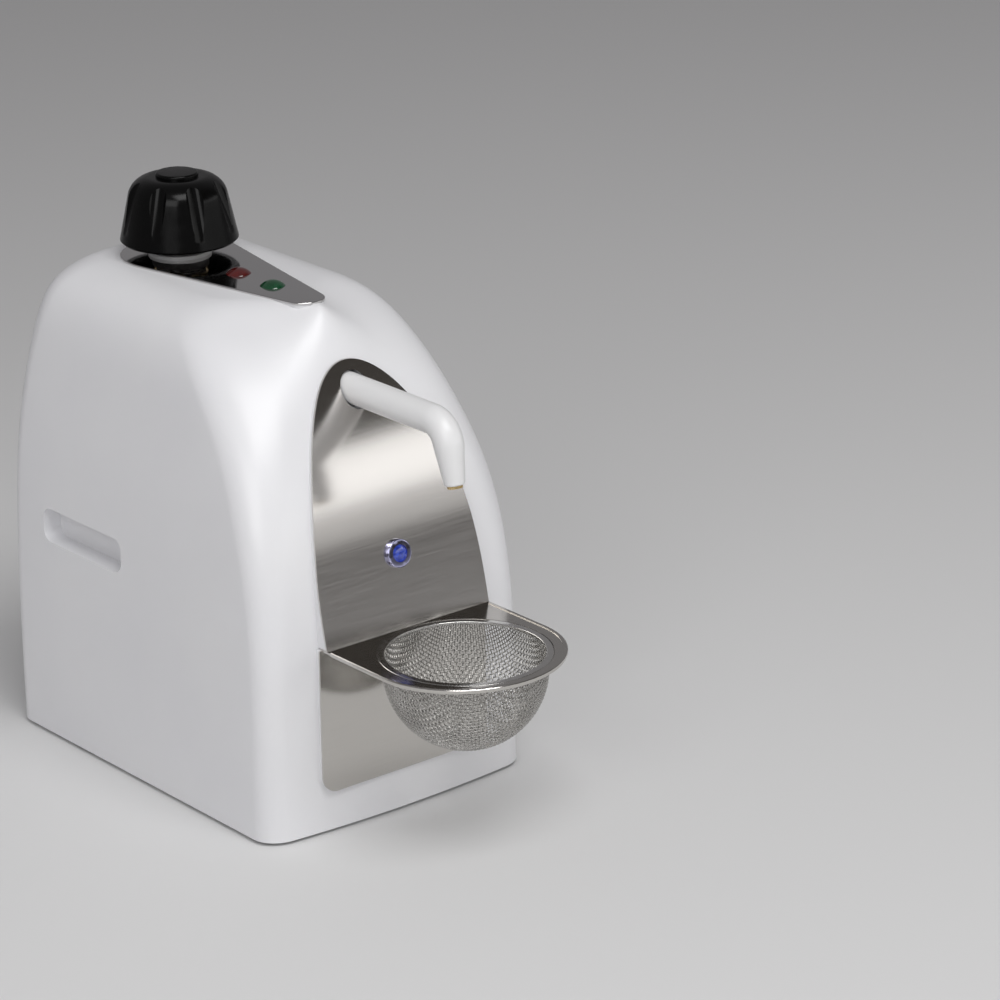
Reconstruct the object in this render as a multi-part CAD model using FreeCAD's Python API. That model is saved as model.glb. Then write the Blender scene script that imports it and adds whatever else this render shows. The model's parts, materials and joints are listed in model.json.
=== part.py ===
import FreeCAD, Part
import math
import os

from FreeCAD import Placement, Rotation, Vector

# Jewelry steam cleaner, in millimetres, +Z up, front facing -Y.
# The origin is on the floor under the middle of the whole object: the shelf's
# round end is its front and the cabinet's back is its rear.

os.makedirs("parts", exist_ok=True)

# Cabinet
cabinet_width = 166.0
cabinet_depth = 231.5
cabinet_height = 250.8
cabinet_wall = 2.8
foot_height = 2.0

# Shelf and basket, carried in front of the cabinet
shelf_top_height = 98.9
basket_from_front = 49.7
basket_rim_radius = 43.4
shelf_margin = 5.0
sheet_thickness = 1.0

# Front panels
upper_panel_width = 102.6
lower_panel_width = 105.0
lower_panel_bottom = 21.3
upper_panel_drop = 23.8
upper_panel_foot = 5.6

# Top of the cabinet
cap_from_rear = 52.0
plate_tip_from_edge = 11.9
green_lens_share = 0.245
red_lens_share = 0.519
top_plate_thickness = 1.2
cap_radius = 30.7
cap_height = 36.0
neck_radius = 13.0
neck_bore = 10.0

# Spout
spout_drop = 37.3
spout_radius = 7.6
spout_reach = 37.5
steam_tube_radius = 3.0

# Boiler
boiler_radius = 37.0
boiler_bottom = 38.0
boiler_drop = 47.8

# Inner frame and base
chassis_share = 0.46316
chassis_thickness = 1.5
base_thickness = 1.5

# Fits and cutting
running_gap = 0.05
slip_gap = 0.3
cut_overrun = 5.0

# Places that follow from the sizes above; heights are given from the cabinet's bottom edge
shelf_round_radius = basket_rim_radius + shelf_margin
shelf_reach = basket_from_front + shelf_round_radius
front_y = shelf_reach - (shelf_reach + cabinet_depth) / 2
rear_y = front_y + cabinet_depth
half_width = cabinet_width / 2
edge_z = foot_height
roof_z = edge_z + cabinet_height
plate_top_z = roof_z + top_plate_thickness
shelf_z = edge_z + shelf_top_height
cap_y = rear_y - cap_from_rear
basket_y = front_y - basket_from_front
spout_z = roof_z - spout_drop
chassis_y = front_y + (cap_y - boiler_radius - front_y) * chassis_share
chassis_back_y = chassis_y + chassis_thickness
x_axis = Vector(1, 0, 0)
y_axis = Vector(0, 1, 0)
z_axis = Vector(0, 0, 1)


def box(x, y, z):
    """Box from three pairs of limits."""
    return Part.makeBox(x[1] - x[0], y[1] - y[0], z[1] - z[0], Vector(x[0], y[0], z[0]))


def around(middle, size):
    """Pair of limits from a middle and a size."""
    return (middle - size / 2, middle + size / 2)


def rod(radius, start, end):
    """Solid cylinder between two points."""
    return Part.makeCylinder(radius, (end - start).Length, start, end - start)


def tube(outer, inner, start, end):
    """Hollow cylinder between two points."""
    return rod(outer, start, end).cut(rod(inner, start, end))


def post(radius, x, y, z):
    """Upright cylinder between two heights."""
    return rod(radius, Vector(x, y, z[0]), Vector(x, y, z[1]))


def ring(outer, inner, x, y, z):
    """Upright hollow cylinder between two heights."""
    return post(outer, x, y, z).cut(post(inner, x, y, z))


def along_x(radius, x, y, z):
    """Cylinder along X between two places."""
    return rod(radius, Vector(x[0], y, z), Vector(x[1], y, z))


def along_y(radius, x, y, z):
    """Cylinder along Y between two places."""
    return rod(radius, Vector(x, y[0], z), Vector(x, y[1], z))


def turned(points, x, y):
    """Solid of revolution about an upright line, from (radius, height) corners."""
    outline = Part.makePolygon([Vector(r, 0, z) for r, z in points + points[:1]])
    solid = Part.Face(outline).revolve(Vector(), z_axis, 360)
    return solid.translated(Vector(x, y, 0))


def side_prism(points, x):
    """Prism along X from its outline of (y, z) corners."""
    outline = Part.makePolygon([Vector(x[0], y, z) for y, z in points + points[:1]])
    return Part.Face(outline).extrude(Vector(x[1] - x[0], 0, 0))


def front_prism(points, y):
    """Prism along Y from its outline of (x, z) corners."""
    outline = Part.makePolygon([Vector(x, y[0], z) for x, z in points + points[:1]])
    return Part.Face(outline).extrude(Vector(0, y[1] - y[0], 0))


def edges_where(shape, test):
    """Edges whose middle passes a test."""
    return [e for e in shape.Edges if test(e.valueAt((e.FirstParameter + e.LastParameter) / 2))]


parallel_share = 0.99


def rounded_box(x, y, z, radius, axis):
    """Box whose four edges along one axis are rounded."""
    block = box(x, y, z)
    edges = [e for e in block.Edges if abs(e.tangentAt(e.FirstParameter).dot(axis)) > parallel_share]
    return block.makeFillet(radius, edges)


screw_head_radius = 2.8
screw_head_height = 1.8
screw_radius = 1.5


def screw(seat, way, length):
    """Pan-head screw: its head stands on the seat and its shank runs along the way."""
    way = Vector(way).normalize()
    head = rod(screw_head_radius, seat - way * screw_head_height, seat)
    return head.fuse(rod(screw_radius, seat, seat + way * length))


def screw_hole(seat, way, length, gap):
    """Hole for a screw's shank."""
    way = Vector(way).normalize()
    return rod(screw_radius + gap, seat - way * gap, seat + way * (length + slip_gap))


def save(name, *solids):
    """Write one sub-part, which may be a group of like solids."""
    shape = solids[0] if len(solids) == 1 else Part.makeCompound(solids)
    shape.exportStep("parts/" + name + ".step")
    print(name, len(shape.Solids), round(shape.Volume, 1), shape.isValid())


# Cabinet: level sections from the bottom edge to the flat top, as shares of the
# height, the half width and the depth, in the order
# height, half width, front set-back, front bow, corner width, corner depth, rear set-back, rear corner
cabinet_shares = [
    (0.000, 1.000, 0.000, 0.042, 0.169, 0.060, 0.000, 0.169),
    (0.200, 1.000, 0.001, 0.042, 0.169, 0.060, 0.000, 0.169),
    (0.403, 0.988, 0.004, 0.042, 0.181, 0.065, 0.000, 0.169),
    (0.638, 0.940, 0.045, 0.042, 0.241, 0.086, 0.000, 0.181),
    (0.778, 0.873, 0.107, 0.042, 0.325, 0.117, 0.001, 0.217),
    (0.901, 0.789, 0.184, 0.066, 0.434, 0.160, 0.010, 0.265),
    (0.945, 0.723, 0.212, 0.090, 0.470, 0.181, 0.020, 0.265),
    (0.971, 0.645, 0.231, 0.102, 0.470, 0.199, 0.034, 0.265),
    (0.989, 0.542, 0.247, 0.120, 0.428, 0.207, 0.052, 0.265),
    (1.000, 0.398, 0.266, 0.133, 0.337, 0.207, 0.073, 0.265),
]
quarter_round_share = 0.5523


def cabinet_level(shares):
    """Half width, front middle, front corner, corner sizes and rear of the cabinet at one level."""
    height, half, setback, bow, wide, deep, rear_setback, rear_corner = shares
    return (half_width * half, front_y + cabinet_depth * setback, half_width * bow, half_width * wide,
            cabinet_depth * deep, rear_y - cabinet_depth * rear_setback, half_width * rear_corner)


def cabinet_section(shares):
    """Outline of the cabinet at one level, as the control points of its ten stretches."""
    side, front, bow, wide, deep, rear, back = cabinet_level(shares)
    z = edge_z + cabinet_height * shares[0]
    brow = front + bow
    flat = side - wide
    k = quarter_round_share
    lift = 2 * bow * wide * k / flat
    lift = min(lift, deep * k)
    half = [
        [(0, front), (flat / 2, front), (flat, brow)],
        [(flat, brow), (flat + wide * k, brow + lift), (side, brow + deep - deep * k), (side, brow + deep)],
        [(side, brow + deep), (side, rear - back)],
        [(side, rear - back), (side, rear - back + back * k), (side - back + back * k, rear),
         (side - back, rear)],
        [(side - back, rear), (0, rear)],
    ]
    other_half = [[(-x, y) for x, y in reversed(stretch)] for stretch in reversed(half)]
    return [[Vector(x, y, z) for x, y in stretch] for stretch in half + other_half]


def skinned(sections):
    """Solid between level sections, smooth from one to the next."""
    steps = [0.0]
    for low, high in zip(sections, sections[1:]):
        steps.append(steps[-1] + (low[1][-1] - high[1][-1]).Length)
    steps = [step / steps[-1] for step in steps]
    faces = []
    for index, first in enumerate(sections[0]):
        columns = []
        for place in range(len(first)):
            column = Part.BSplineCurve()
            column.interpolate(Points=[section[index][place] for section in sections], Parameters=steps)
            columns.append(column)
        count = len(first)
        surface = Part.BSplineSurface()
        surface.buildFromPolesMultsKnots(
            [column.getPoles() for column in columns], [count, count], columns[0].getMultiplicities(),
            [0.0, 1.0], columns[0].getKnots(), False, False, count - 1, columns[0].Degree)
        faces.append(surface.toShape())
    for section in (sections[0], sections[-1]):
        edges = []
        for stretch in section:
            curve = Part.BezierCurve()
            curve.setPoles(stretch)
            edges.append(curve.toShape())
        faces.append(Part.Face(Part.Wire(edges)))
    shell = Part.Shell(faces)
    shell.sewShape()
    solid = Part.Solid(shell)
    if solid.Volume < 0:
        solid.reverse()
    return solid


cavity_shares = [cabinet_shares[index] for index in (0, 2, 3, 4, 5, 6, 7, 8, 9)]
roof_turn_power = 8
corner_wall_share = 0.6


def corner_reach(centre, radius, inset):
    """Diagonal reach of a flat corner of the cavity inside a round corner of the cabinet."""
    room = radius - inset
    beside = math.sqrt((radius - inset * corner_wall_share) ** 2 - room ** 2)
    return centre + min(room + beside, room * math.sqrt(2))


def cavity():
    """Room inside the cabinet: flat-faced, cut from its side view, its front view and its corners."""
    front_view = []
    side_view = []
    rear_view = []
    front_corner = []
    rear_corner = []
    for row in cavity_shares:
        side, front, bow, wide, deep, rear, back = cabinet_level(row)
        # the wall's thickness turns from level to upright towards the roof
        turn = row[0] ** roof_turn_power
        inset = cabinet_wall * math.sqrt(1 - turn ** 2)
        z = edge_z + cabinet_height * row[0] - cabinet_wall * turn
        if row[0] == 0:
            z = edge_z - cut_overrun
        front_view.append((side - inset, z))
        side_view.append((front + bow * (1 + corner_wall_share / 2) + inset, z))
        rear_view.append((rear - inset, z))
        front_corner.append((corner_reach(side - wide - front - bow - deep, (wide + deep) / 2, inset), z))
        rear_corner.append((corner_reach(side - back + rear - back, back, inset), z))
    far = 2 * (cabinet_depth + shelf_reach)
    mirrored = [(-x, z) for x, z in reversed(front_view)]
    room = side_prism(side_view + rear_view[::-1], (-far, far))
    room = room.common(front_prism(front_view + mirrored, (-far, far)))
    for reach, forward in ((front_corner, 1), (rear_corner, -1)):
        outline = reach + [(-far, reach[-1][1]), (-far, reach[0][1])]
        for side in (1, -1):
            # the outline lies across the corner's diagonal and is drawn along it
            corners = [Vector(side * (u / 2 - far), -forward * (u / 2 + far), z) for u, z in outline]
            face = Part.Face(Part.makePolygon(corners + corners[:1]))
            room = room.common(face.extrude(Vector(2 * far * side, 2 * far * forward, 0)))
    return room


# Front panels: the upper one is one sheet that leans back and then curves away with the cabinet
panel_lean_rise = 41.0
panel_lean_run = 9.1
panel_top_back_share = 0.179266
panel_side_height = 10.1
panel_over_share = 1.15
seat_inset = 0.8
seat_depth = 14.0
lower_corner_radius = 9.0
panel_foot_point = Vector(0, front_y - upper_panel_foot, shelf_z)
panel_bend_point = panel_foot_point + Vector(0, panel_lean_run, panel_lean_rise)
panel_top_point = Vector(0, front_y + cabinet_depth * panel_top_back_share, roof_z - upper_panel_drop)
panel_lean = Vector(panel_bend_point - panel_foot_point).normalize()
panel_inward = Vector(0, panel_lean.z, -panel_lean.y)


def panel_profile(depth):
    """Side view of the upper panel at a depth behind its outer face: a straight, then a tangent arc."""
    chord = panel_top_point - panel_bend_point
    turn = 2 * math.acos(panel_lean.dot(chord) / chord.Length)
    radius = chord.Length / (2 * math.sin(turn / 2))
    centre = panel_bend_point + panel_inward * radius

    def on_arc(angle):
        spoke = Rotation(x_axis, -math.degrees(angle)).multVec(-panel_inward)
        return centre + spoke * (radius - depth)

    start = panel_foot_point + panel_inward * depth - panel_lean * cut_overrun
    bend = on_arc(0)
    end = on_arc(turn * panel_over_share)
    middle = on_arc(turn * panel_over_share / 2)
    return start, [Part.makeLine(start, bend), Part.Arc(bend, middle, end).toShape()], end


def panel_slab(near, far, half):
    """Slab between two depths behind the upper panel's outer face."""
    start, outer, end = panel_profile(near)
    inner_start, inner, inner_end = panel_profile(far)
    edges = outer + [Part.makeLine(end, inner_end)] + inner + [Part.makeLine(inner_start, start)]
    wire = Part.Wire(Part.__sortEdges__(edges))
    return Part.Face(wire).extrude(Vector(2 * half, 0, 0)).translated(Vector(-half, 0, 0))


def arch_prism(inset):
    """Front view of the upper panel, half an ellipse over straight sides, drawn through the cabinet."""
    half = upper_panel_width / 2 - inset
    spring = shelf_z + panel_side_height
    crown = Part.Ellipse(Vector(), panel_top_point.z - spring - inset, half)
    arc = Part.ArcOfEllipse(crown, -math.pi / 2, math.pi / 2).toShape()
    arc.rotate(Vector(), z_axis, 90)
    arc.rotate(Vector(), x_axis, 90)
    arc.translate(Vector(0, 0, spring))
    corners = [Vector(half, 0, spring), Vector(half, 0, shelf_z), Vector(-half, 0, shelf_z),
               Vector(-half, 0, spring)]
    sides = [Part.makeLine(a, b) for a, b in zip(corners, corners[1:])]
    prism = Part.Face(Part.Wire(Part.__sortEdges__([arc] + sides))).extrude(Vector(0, 2 * cabinet_depth, 0))
    return prism.translated(Vector(0, front_y - cabinet_depth, 0))


def lower_outline(inset, y):
    """Front view of the lower panel, rounded at its bottom corners, between two depths."""
    half = lower_panel_width / 2 - inset
    low = edge_z + lower_panel_bottom + inset
    block = box((-half, half), y, (low, shelf_z - sheet_thickness))
    corners = [e for e in block.Edges if abs(e.tangentAt(e.FirstParameter).y) > parallel_share
               and e.BoundBox.Center.z < low + running_gap]
    return block.makeFillet(lower_corner_radius - inset, corners)


# Blue lamp in the upper panel, square to the panel's straight part
led_height = 135.6
led_bezel_radius = 7.3
led_bezel_proud = 2.2
led_body_radius = 5.2
led_window_radius = 4.4
led_run = (edge_z + led_height - panel_foot_point.z) / panel_lean.z
led_seat = panel_foot_point + panel_lean * led_run

# Spout hole
spout_hole_gap = 1.2
spout_hole_radius = spout_radius + spout_hole_gap

# Steam button on the right side
button_height = 149.0
button_face_x = half_width
button_proud = 1.4
bezel_flange = 1.0
button_radius = 8.5
bezel_radius = 12.0
bezel_wall = 1.2
boss_radius = 14.0
boss_depth = 8.0
switch_width = 10.0
button_z = edge_z + button_height
button_y = chassis_back_y + switch_width / 2
bezel_face_x = button_face_x - button_proud
boss_face_x = bezel_face_x - bezel_flange
bezel_body_radius = button_radius + slip_gap / 3 + bezel_wall

# Finger grips in both sides
grip_length = 70.0
grip_height = 18.0
grip_depth = 12.0
grip_wall = 2.5
grip_from_rear = 70.0
grip_level = 118.0
grip_corner = 6.0

# Rear opening and its recessed cover
cover_side = 23.0
cover_bottom = 6.0
cover_drop = 62.8
cover_recess = 5.5
cover_thickness = 1.5
frame_thickness = 3.5
frame_rim = 2.7
frame_ledge = 8.0
cover_face_y = rear_y - cover_recess
cover_back_y = cover_face_y - cover_thickness
cover_width = cabinet_width - 2 * cover_side
cover_z = (edge_z + cover_bottom, roof_z - cover_drop)

# Base plate inside the bottom edge, and the posts that it is screwed to
base_recess = 2.0
base_bottom_z = edge_z + base_recess
base_top_z = base_bottom_z + base_thickness
base_post_radius = 4.0
base_post_height = 18.0
base_post_rib = 2.0
base_post_in = 9.5
base_post_back = 13.5
base_screw_length = 9.0

# Lenses and the small board under them
lens_radius = 6.5
lens_body_radius = 5.0
lens_dome = 3.0
board_drop = 12.0
board_thickness = 1.6
indicator_board_width = 12.0
board_post_radius = 2.6
board_top_z = roof_z - board_drop

# Top plate: a teardrop round the filler neck, with its point towards the front
plate_round_radius = 31.0
plate_tip_radius = 10.5
plate_edge_radius = 0.6
plate_seat_inset = 0.5
plate_seat_depth = 8.0
plate_tip_y = front_y + cabinet_depth * cabinet_shares[-1][2] + plate_tip_from_edge
lens_places = [plate_tip_y + (cap_y - plate_tip_y) * share for share in (green_lens_share, red_lens_share)]


def teardrop(inset, z):
    """Teardrop prism between two levels, drawn in by an inset."""
    big = plate_round_radius - inset
    small = plate_tip_radius - inset
    lean = math.asin((big - small) / (cap_y - plate_tip_y))
    x, y = math.cos(lean), -math.sin(lean)
    low = [Vector(x * big, cap_y + y * big, z[0]), Vector(x * small, plate_tip_y + y * small, z[0])]
    left = [Vector(-p.x, p.y, p.z) for p in low]
    edges = [
        Part.makeLine(low[0], low[1]),
        Part.Arc(low[1], Vector(0, plate_tip_y - small, z[0]), left[1]).toShape(),
        Part.makeLine(left[1], left[0]),
        Part.Arc(left[0], Vector(0, cap_y + big, z[0]), low[0]).toShape(),
    ]
    return Part.Face(Part.Wire(edges)).extrude(Vector(0, 0, z[1] - z[0]))


def base_post_places():
    """Four screw posts, one in each bottom corner of the cabinet."""
    x = half_width - base_post_in
    return [(sx * x, y) for sx in (-1, 1) for y in (front_y + base_post_back, rear_y - base_post_in)]


def cover_screw_places():
    """Four screws in the rear cover's corners, as (x, z)."""
    x = cover_width / 2 - frame_ledge / 2
    levels = (cover_z[0] + frame_ledge / 2, cover_z[1] - frame_ledge / 2)
    return [(sx * x, z) for sx in (-1, 1) for z in levels]


def cabinet():
    """Moulded cabinet, open below and at the rear, with seats for the sheets that lie on it."""
    outside = skinned([cabinet_section(row) for row in cabinet_shares])
    half = lower_panel_width / 2
    recess = panel_slab(-seat_depth, sheet_thickness, half).common(arch_prism(0))
    upper_seat = panel_slab(sheet_thickness, sheet_thickness + seat_depth, half)
    upper_seat = upper_seat.common(arch_prism(seat_inset))
    lower_seat = lower_outline(seat_inset, (front_y, front_y + seat_depth / 2))
    plate_seat = teardrop(plate_seat_inset, (roof_z - plate_seat_depth, roof_z))
    body = outside.fuse([upper_seat, lower_seat, plate_seat])

    boss = along_x(boss_radius, (boss_face_x - boss_depth, boss_face_x), button_y, button_z)
    body = body.fuse(boss)
    over_boss = along_x(boss_radius, (boss_face_x, half_width + cut_overrun), button_y, button_z)
    body = body.cut([over_boss, cavity().cut(boss), recess])

    inside = [box(around(0, cover_width + 2 * frame_rim), (cover_back_y - frame_thickness, rear_y),
                  (cover_z[0] - frame_rim / 2, cover_z[1] + frame_rim))]
    for side in (-1, 1):
        reach = sorted((side * (half_width - cabinet_wall), side * (half_width - grip_depth - grip_wall)))
        inside.append(box(reach, around(rear_y - grip_from_rear, grip_length + 2 * grip_wall),
                          around(edge_z + grip_level, grip_height + 2 * grip_wall)))
    for x, y in base_post_places():
        inside.append(post(base_post_radius, x, y, (base_top_z, base_top_z + base_post_height)))
        reach = sorted((x, math.copysign(half_width - cabinet_wall / 2, x)))
        inside.append(box(reach, around(y, base_post_rib), (base_top_z, base_top_z + base_post_height)))
    for y in lens_places:
        inside.append(ring(lens_body_radius + cabinet_wall, lens_body_radius, 0, y,
                           (roof_z - plate_seat_depth, roof_z - cabinet_wall / 2)))
    middle = sum(lens_places) / 2
    inside.append(post(board_post_radius, 0, middle, (board_top_z, roof_z - cabinet_wall / 2)))
    body = body.fuse(inside)

    holes = []
    for side in (-1, 1):
        reach = sorted((side * (half_width + cut_overrun), side * (half_width - grip_depth)))
        holes.append(rounded_box(reach, around(rear_y - grip_from_rear, grip_length),
                                 around(edge_z + grip_level, grip_height), grip_corner, x_axis))
    holes.append(box(around(0, cover_width + 2 * slip_gap), (cover_back_y, rear_y + cut_overrun),
                     (cover_z[0] - slip_gap, cover_z[1] + slip_gap)))
    frame_back = cover_back_y - frame_thickness
    holes.append(box(around(0, cover_width - 2 * frame_ledge), (frame_back - cut_overrun, rear_y),
                     (cover_z[0] + frame_ledge, cover_z[1] - frame_ledge)))
    for x, z in cover_screw_places():
        seat = Vector(x, cover_back_y, z)
        holes.append(screw_hole(seat, -y_axis, frame_thickness + cut_overrun, running_gap))
    for x, y in base_post_places():
        holes.append(screw_hole(Vector(x, y, base_top_z), z_axis, base_screw_length, running_gap))
    for y in lens_places:
        holes.append(post(lens_body_radius + running_gap, 0, y, (roof_z - board_drop, roof_z + cut_overrun)))
    holes.append(post(neck_radius + slip_gap, 0, cap_y,
                      (roof_z - plate_seat_depth - cut_overrun, roof_z + cut_overrun)))
    holes.append(along_y(spout_hole_radius, 0, (front_y - cut_overrun, chassis_y), spout_z))
    holes.append(along_x(bezel_body_radius + running_gap, (boss_face_x - boss_depth - cut_overrun,
                                                         boss_face_x + cut_overrun), button_y, button_z))
    holes.append(rod(led_body_radius + running_gap, led_seat - panel_inward * cut_overrun,
                     led_seat + panel_inward * (seat_depth + cut_overrun)))
    return body.cut(holes)


# Cabinet's fittings
base_gap = 0.4
base_corner = 12.0
base_slot_length = 40.0
base_slot_width = 4.0
base_slot_margin = 13.0
base_slot_count = 5
foot_radius = 9.0
foot_edge = 1.0
foot_in = 24.0
cover_slot_side = 10.0
cover_slot_width = 3.0
cover_slot_pitch = 8.0
cover_slot_count = 6
cover_slot_from_top = 22.0
cover_slot_length = cover_width / 2 - cover_slot_side


def base_plate():
    """Vented floor sheet with the cabinet's corner posts screwed to it."""
    half = half_width - cabinet_wall - base_gap
    bow = half_width * cabinet_shares[0][3] * (1 + corner_wall_share / 2)
    y = (front_y + bow + cabinet_wall + base_gap, rear_y - cabinet_wall - base_gap)
    plate = rounded_box((-half, half), y, (base_bottom_z, base_top_z), base_corner, z_axis)
    cuts = [screw_hole(Vector(x, y, base_bottom_z), z_axis, base_thickness, slip_gap / 2)
            for x, y in base_post_places()]
    cuts += [screw_hole(Vector(x, y, base_bottom_z), z_axis, base_thickness, slip_gap / 2)
             for x, y in chassis_screw_places() + stand_screw_places()]
    first = front_y + base_slot_margin + base_slot_width / 2
    last = chassis_y - base_slot_margin - base_slot_width / 2
    for step in range(base_slot_count):
        middle = first + (last - first) * step / (base_slot_count - 1)
        cuts.append(box(around(0, base_slot_length), around(middle, base_slot_width),
                        (base_bottom_z - cut_overrun, base_top_z + cut_overrun)))
    return plate.cut(cuts)


def foot_places():
    """Four feet under the base plate."""
    x = half_width - foot_in
    return [(sx * x, y) for sx in (-1, 1) for y in (front_y + foot_in, rear_y - foot_in)]


def rubber_feet():
    """Moulded rubber feet, with their edge broken where they meet the counter."""
    side = [(0, 0), (foot_radius - foot_edge, 0), (foot_radius, foot_edge), (foot_radius, base_bottom_z),
            (0, base_bottom_z)]
    return [turned(side, x, y) for x, y in foot_places()]


def rear_cover():
    """Recessed rear sheet: louvre slots above, openings for the inlet and the switch below."""
    half = cover_width / 2
    sheet = rounded_box((-half, half), (cover_back_y, cover_face_y), cover_z, frame_rim, y_axis)
    cuts = [screw_hole(Vector(x, cover_back_y, z), y_axis, cover_thickness, slip_gap / 2)
            for x, z in cover_screw_places()]
    top = cover_z[1] - cover_slot_from_top
    cuts += [box(around(side * (cover_slot_length / 2 + cover_slot_width), cover_slot_length),
                 (cover_back_y - cut_overrun, rear_y),
                 around(top - cover_slot_pitch * step, cover_slot_width))
             for side in (-1, 1) for step in range(cover_slot_count)]
    cuts.append(box(around(inlet_x, inlet_width + slip_gap), (cover_back_y - cut_overrun, rear_y),
                    around(inlet_z, inlet_height + slip_gap)))
    cuts.append(box(around(rocker_x, rocker_body_width + slip_gap), (cover_back_y - cut_overrun, rear_y),
                    around(rocker_z, rocker_body_height + slip_gap)))
    return sheet.cut(cuts)


# Mains inlet and rocker switch on the rear cover
inlet_in = 30.0
inlet_width = 27.0
inlet_height = 20.0
inlet_depth = 20.0
inlet_flange_width = 50.0
inlet_flange_height = 22.4
inlet_flange = 3.0
inlet_mouth_width = 24.0
inlet_mouth_height = 16.0
inlet_mouth_depth = 17.0
inlet_corner = 3.0
inlet_screw_pitch = 40.0
pin_width = 2.0
pin_height = 4.0
pin_reach = 12.0
pin_pitch = 7.0
pin_drop = 2.0
inlet_from_edge = 24.5
inlet_x = inlet_in - cover_width / 2
inlet_z = edge_z + inlet_from_edge
rocker_in = 21.0
rocker_x = cover_width / 2 - rocker_in
rocker_z = inlet_z
rocker_body_width = 14.2
rocker_body_height = 21.0
rocker_depth = 16.0
rocker_flange_width = 18.0
rocker_flange_height = 25.0
rocker_flange = 1.6
rocker_key_width = 11.6
rocker_key_half = 8.8
rocker_rise = 1.4
rocker_back = 5.0
rocker_turn = 20.0
rocker_pin_radius = 1.2
rocker_pin_reach = 0.7
rocker_wall = 1.0


def mains_inlet():
    """Moulded inlet with a keyed mouth that takes a mains plug, flanged on the cover's face."""
    flange = rounded_box(around(inlet_x, inlet_flange_width), (cover_face_y, cover_face_y + inlet_flange),
                         around(inlet_z, inlet_flange_height), inlet_corner, y_axis)
    body = box(around(inlet_x, inlet_width), (cover_face_y - inlet_depth, cover_face_y),
               around(inlet_z, inlet_height))
    face = cover_face_y + inlet_flange
    mouth = box(around(inlet_x, inlet_mouth_width), (face - inlet_mouth_depth, face + cut_overrun),
                around(inlet_z, inlet_mouth_height))
    top_edges = [e for e in mouth.Edges if abs(e.tangentAt(e.FirstParameter).y) > parallel_share
                 and e.BoundBox.Center.z > inlet_z]
    mouth = mouth.makeChamfer(inlet_corner, top_edges)
    holes = [screw_hole(Vector(x, face, inlet_z), -y_axis, inlet_flange, slip_gap / 2)
             for x in around(inlet_x, inlet_screw_pitch)]
    slots = [pin.copy() for pin in inlet_pins()]
    return flange.fuse(body).cut([mouth] + holes + slots)


def inlet_pins():
    """Three flat contact pins standing in the mouth and reaching out behind it."""
    face = cover_face_y + inlet_flange
    y = (cover_face_y - inlet_depth - pin_height, face - inlet_mouth_depth + pin_reach)
    places = [(inlet_x - pin_pitch, inlet_z - pin_drop), (inlet_x + pin_pitch, inlet_z - pin_drop),
              (inlet_x, inlet_z + pin_drop)]
    return [box(around(x, pin_width), y, around(z, pin_height)) for x, z in places]


def rocker_frame():
    """Snap-in switch housing with pivot holes in its side walls."""
    flange = rounded_box(around(rocker_x, rocker_flange_width), (cover_face_y, cover_face_y + rocker_flange),
                         around(rocker_z, rocker_flange_height), rocker_wall, y_axis)
    body = box(around(rocker_x, rocker_body_width), (cover_face_y - rocker_depth, cover_face_y),
               around(rocker_z, rocker_body_height))
    room = box(around(rocker_x, rocker_key_width + 2 * slip_gap),
               (cover_face_y - rocker_depth + rocker_wall, rear_y + cut_overrun),
               around(rocker_z, 2 * (rocker_key_half + rocker_wall)))
    pin_room = rocker_key_width + 2 * (rocker_pin_reach + slip_gap / 2)
    pivot = along_x(rocker_pin_radius + running_gap, around(rocker_x, pin_room), cover_face_y, rocker_z)
    return flange.fuse(body).cut([room, pivot])


def rocker_key():
    """Two-winged key on its pivot pins, lying in its off position with the lower wing out."""
    rise = rocker_rise + rocker_key_half * math.tan(math.radians(rocker_turn / 2))
    back = rocker_back
    half = rocker_key_half
    outline = [(rise, half), (rocker_rise, 0), (rise, -half), (-back / 2, -half + back / 2),
               (-back, -back / 2), (-back, back / 2), (-back / 2, half - back / 2)]
    key = side_prism(outline, around(0, rocker_key_width))
    key = key.fuse(along_x(rocker_pin_radius, around(0, rocker_key_width + 2 * rocker_pin_reach), 0, 0))
    key.rotate(Vector(), x_axis, rocker_turn / 2)
    return key.translated(Vector(rocker_x, cover_face_y, rocker_z))


# Panels and shelf
shelf_bead_width = 2.2
shelf_bead_height = 2.4
shelf_bead_proud = 0.4
shelf_bead_back = 8.0
basket_ledge_width = 1.8
basket_rim_thickness = 1.2
basket_wall = 1.0
basket_straight = 7.0
basket_gap = 0.2
led_nut_thickness = 3.0
led_nut_radius = 7.5
led_length = 18.0
led_dome = 0.8


def upper_panel():
    """Curved stainless sheet with an arched top, holed for the spout and the blue lamp."""
    half = lower_panel_width / 2
    sheet = panel_slab(0, sheet_thickness, half).common(arch_prism(0))
    lamp = rod(led_body_radius + running_gap, led_seat - panel_inward * cut_overrun,
               led_seat + panel_inward * cut_overrun)
    return sheet.cut([lamp, along_y(spout_hole_radius, 0, (front_y - cut_overrun, chassis_y), spout_z)])


def shelf_outline(inset, z, back):
    """D-shaped prism between two levels: straight sides, then a half ellipse to the front."""
    half = upper_panel_width / 2 - inset
    reach = shelf_round_radius - inset
    oval = Part.Ellipse(Vector(), max(half, reach), min(half, reach))
    front = Part.ArcOfEllipse(oval, math.pi, 2 * math.pi).toShape()
    front.translate(Vector(0, basket_y, z[0]))
    corners = [Vector(half, basket_y, z[0]), Vector(half, back, z[0]), Vector(-half, back, z[0]),
               Vector(-half, basket_y, z[0])]
    sides = [Part.makeLine(a, b) for a, b in zip(corners, corners[1:])]
    return Part.Face(Part.Wire(Part.__sortEdges__([front] + sides))).extrude(Vector(0, 0, z[1] - z[0]))


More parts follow.
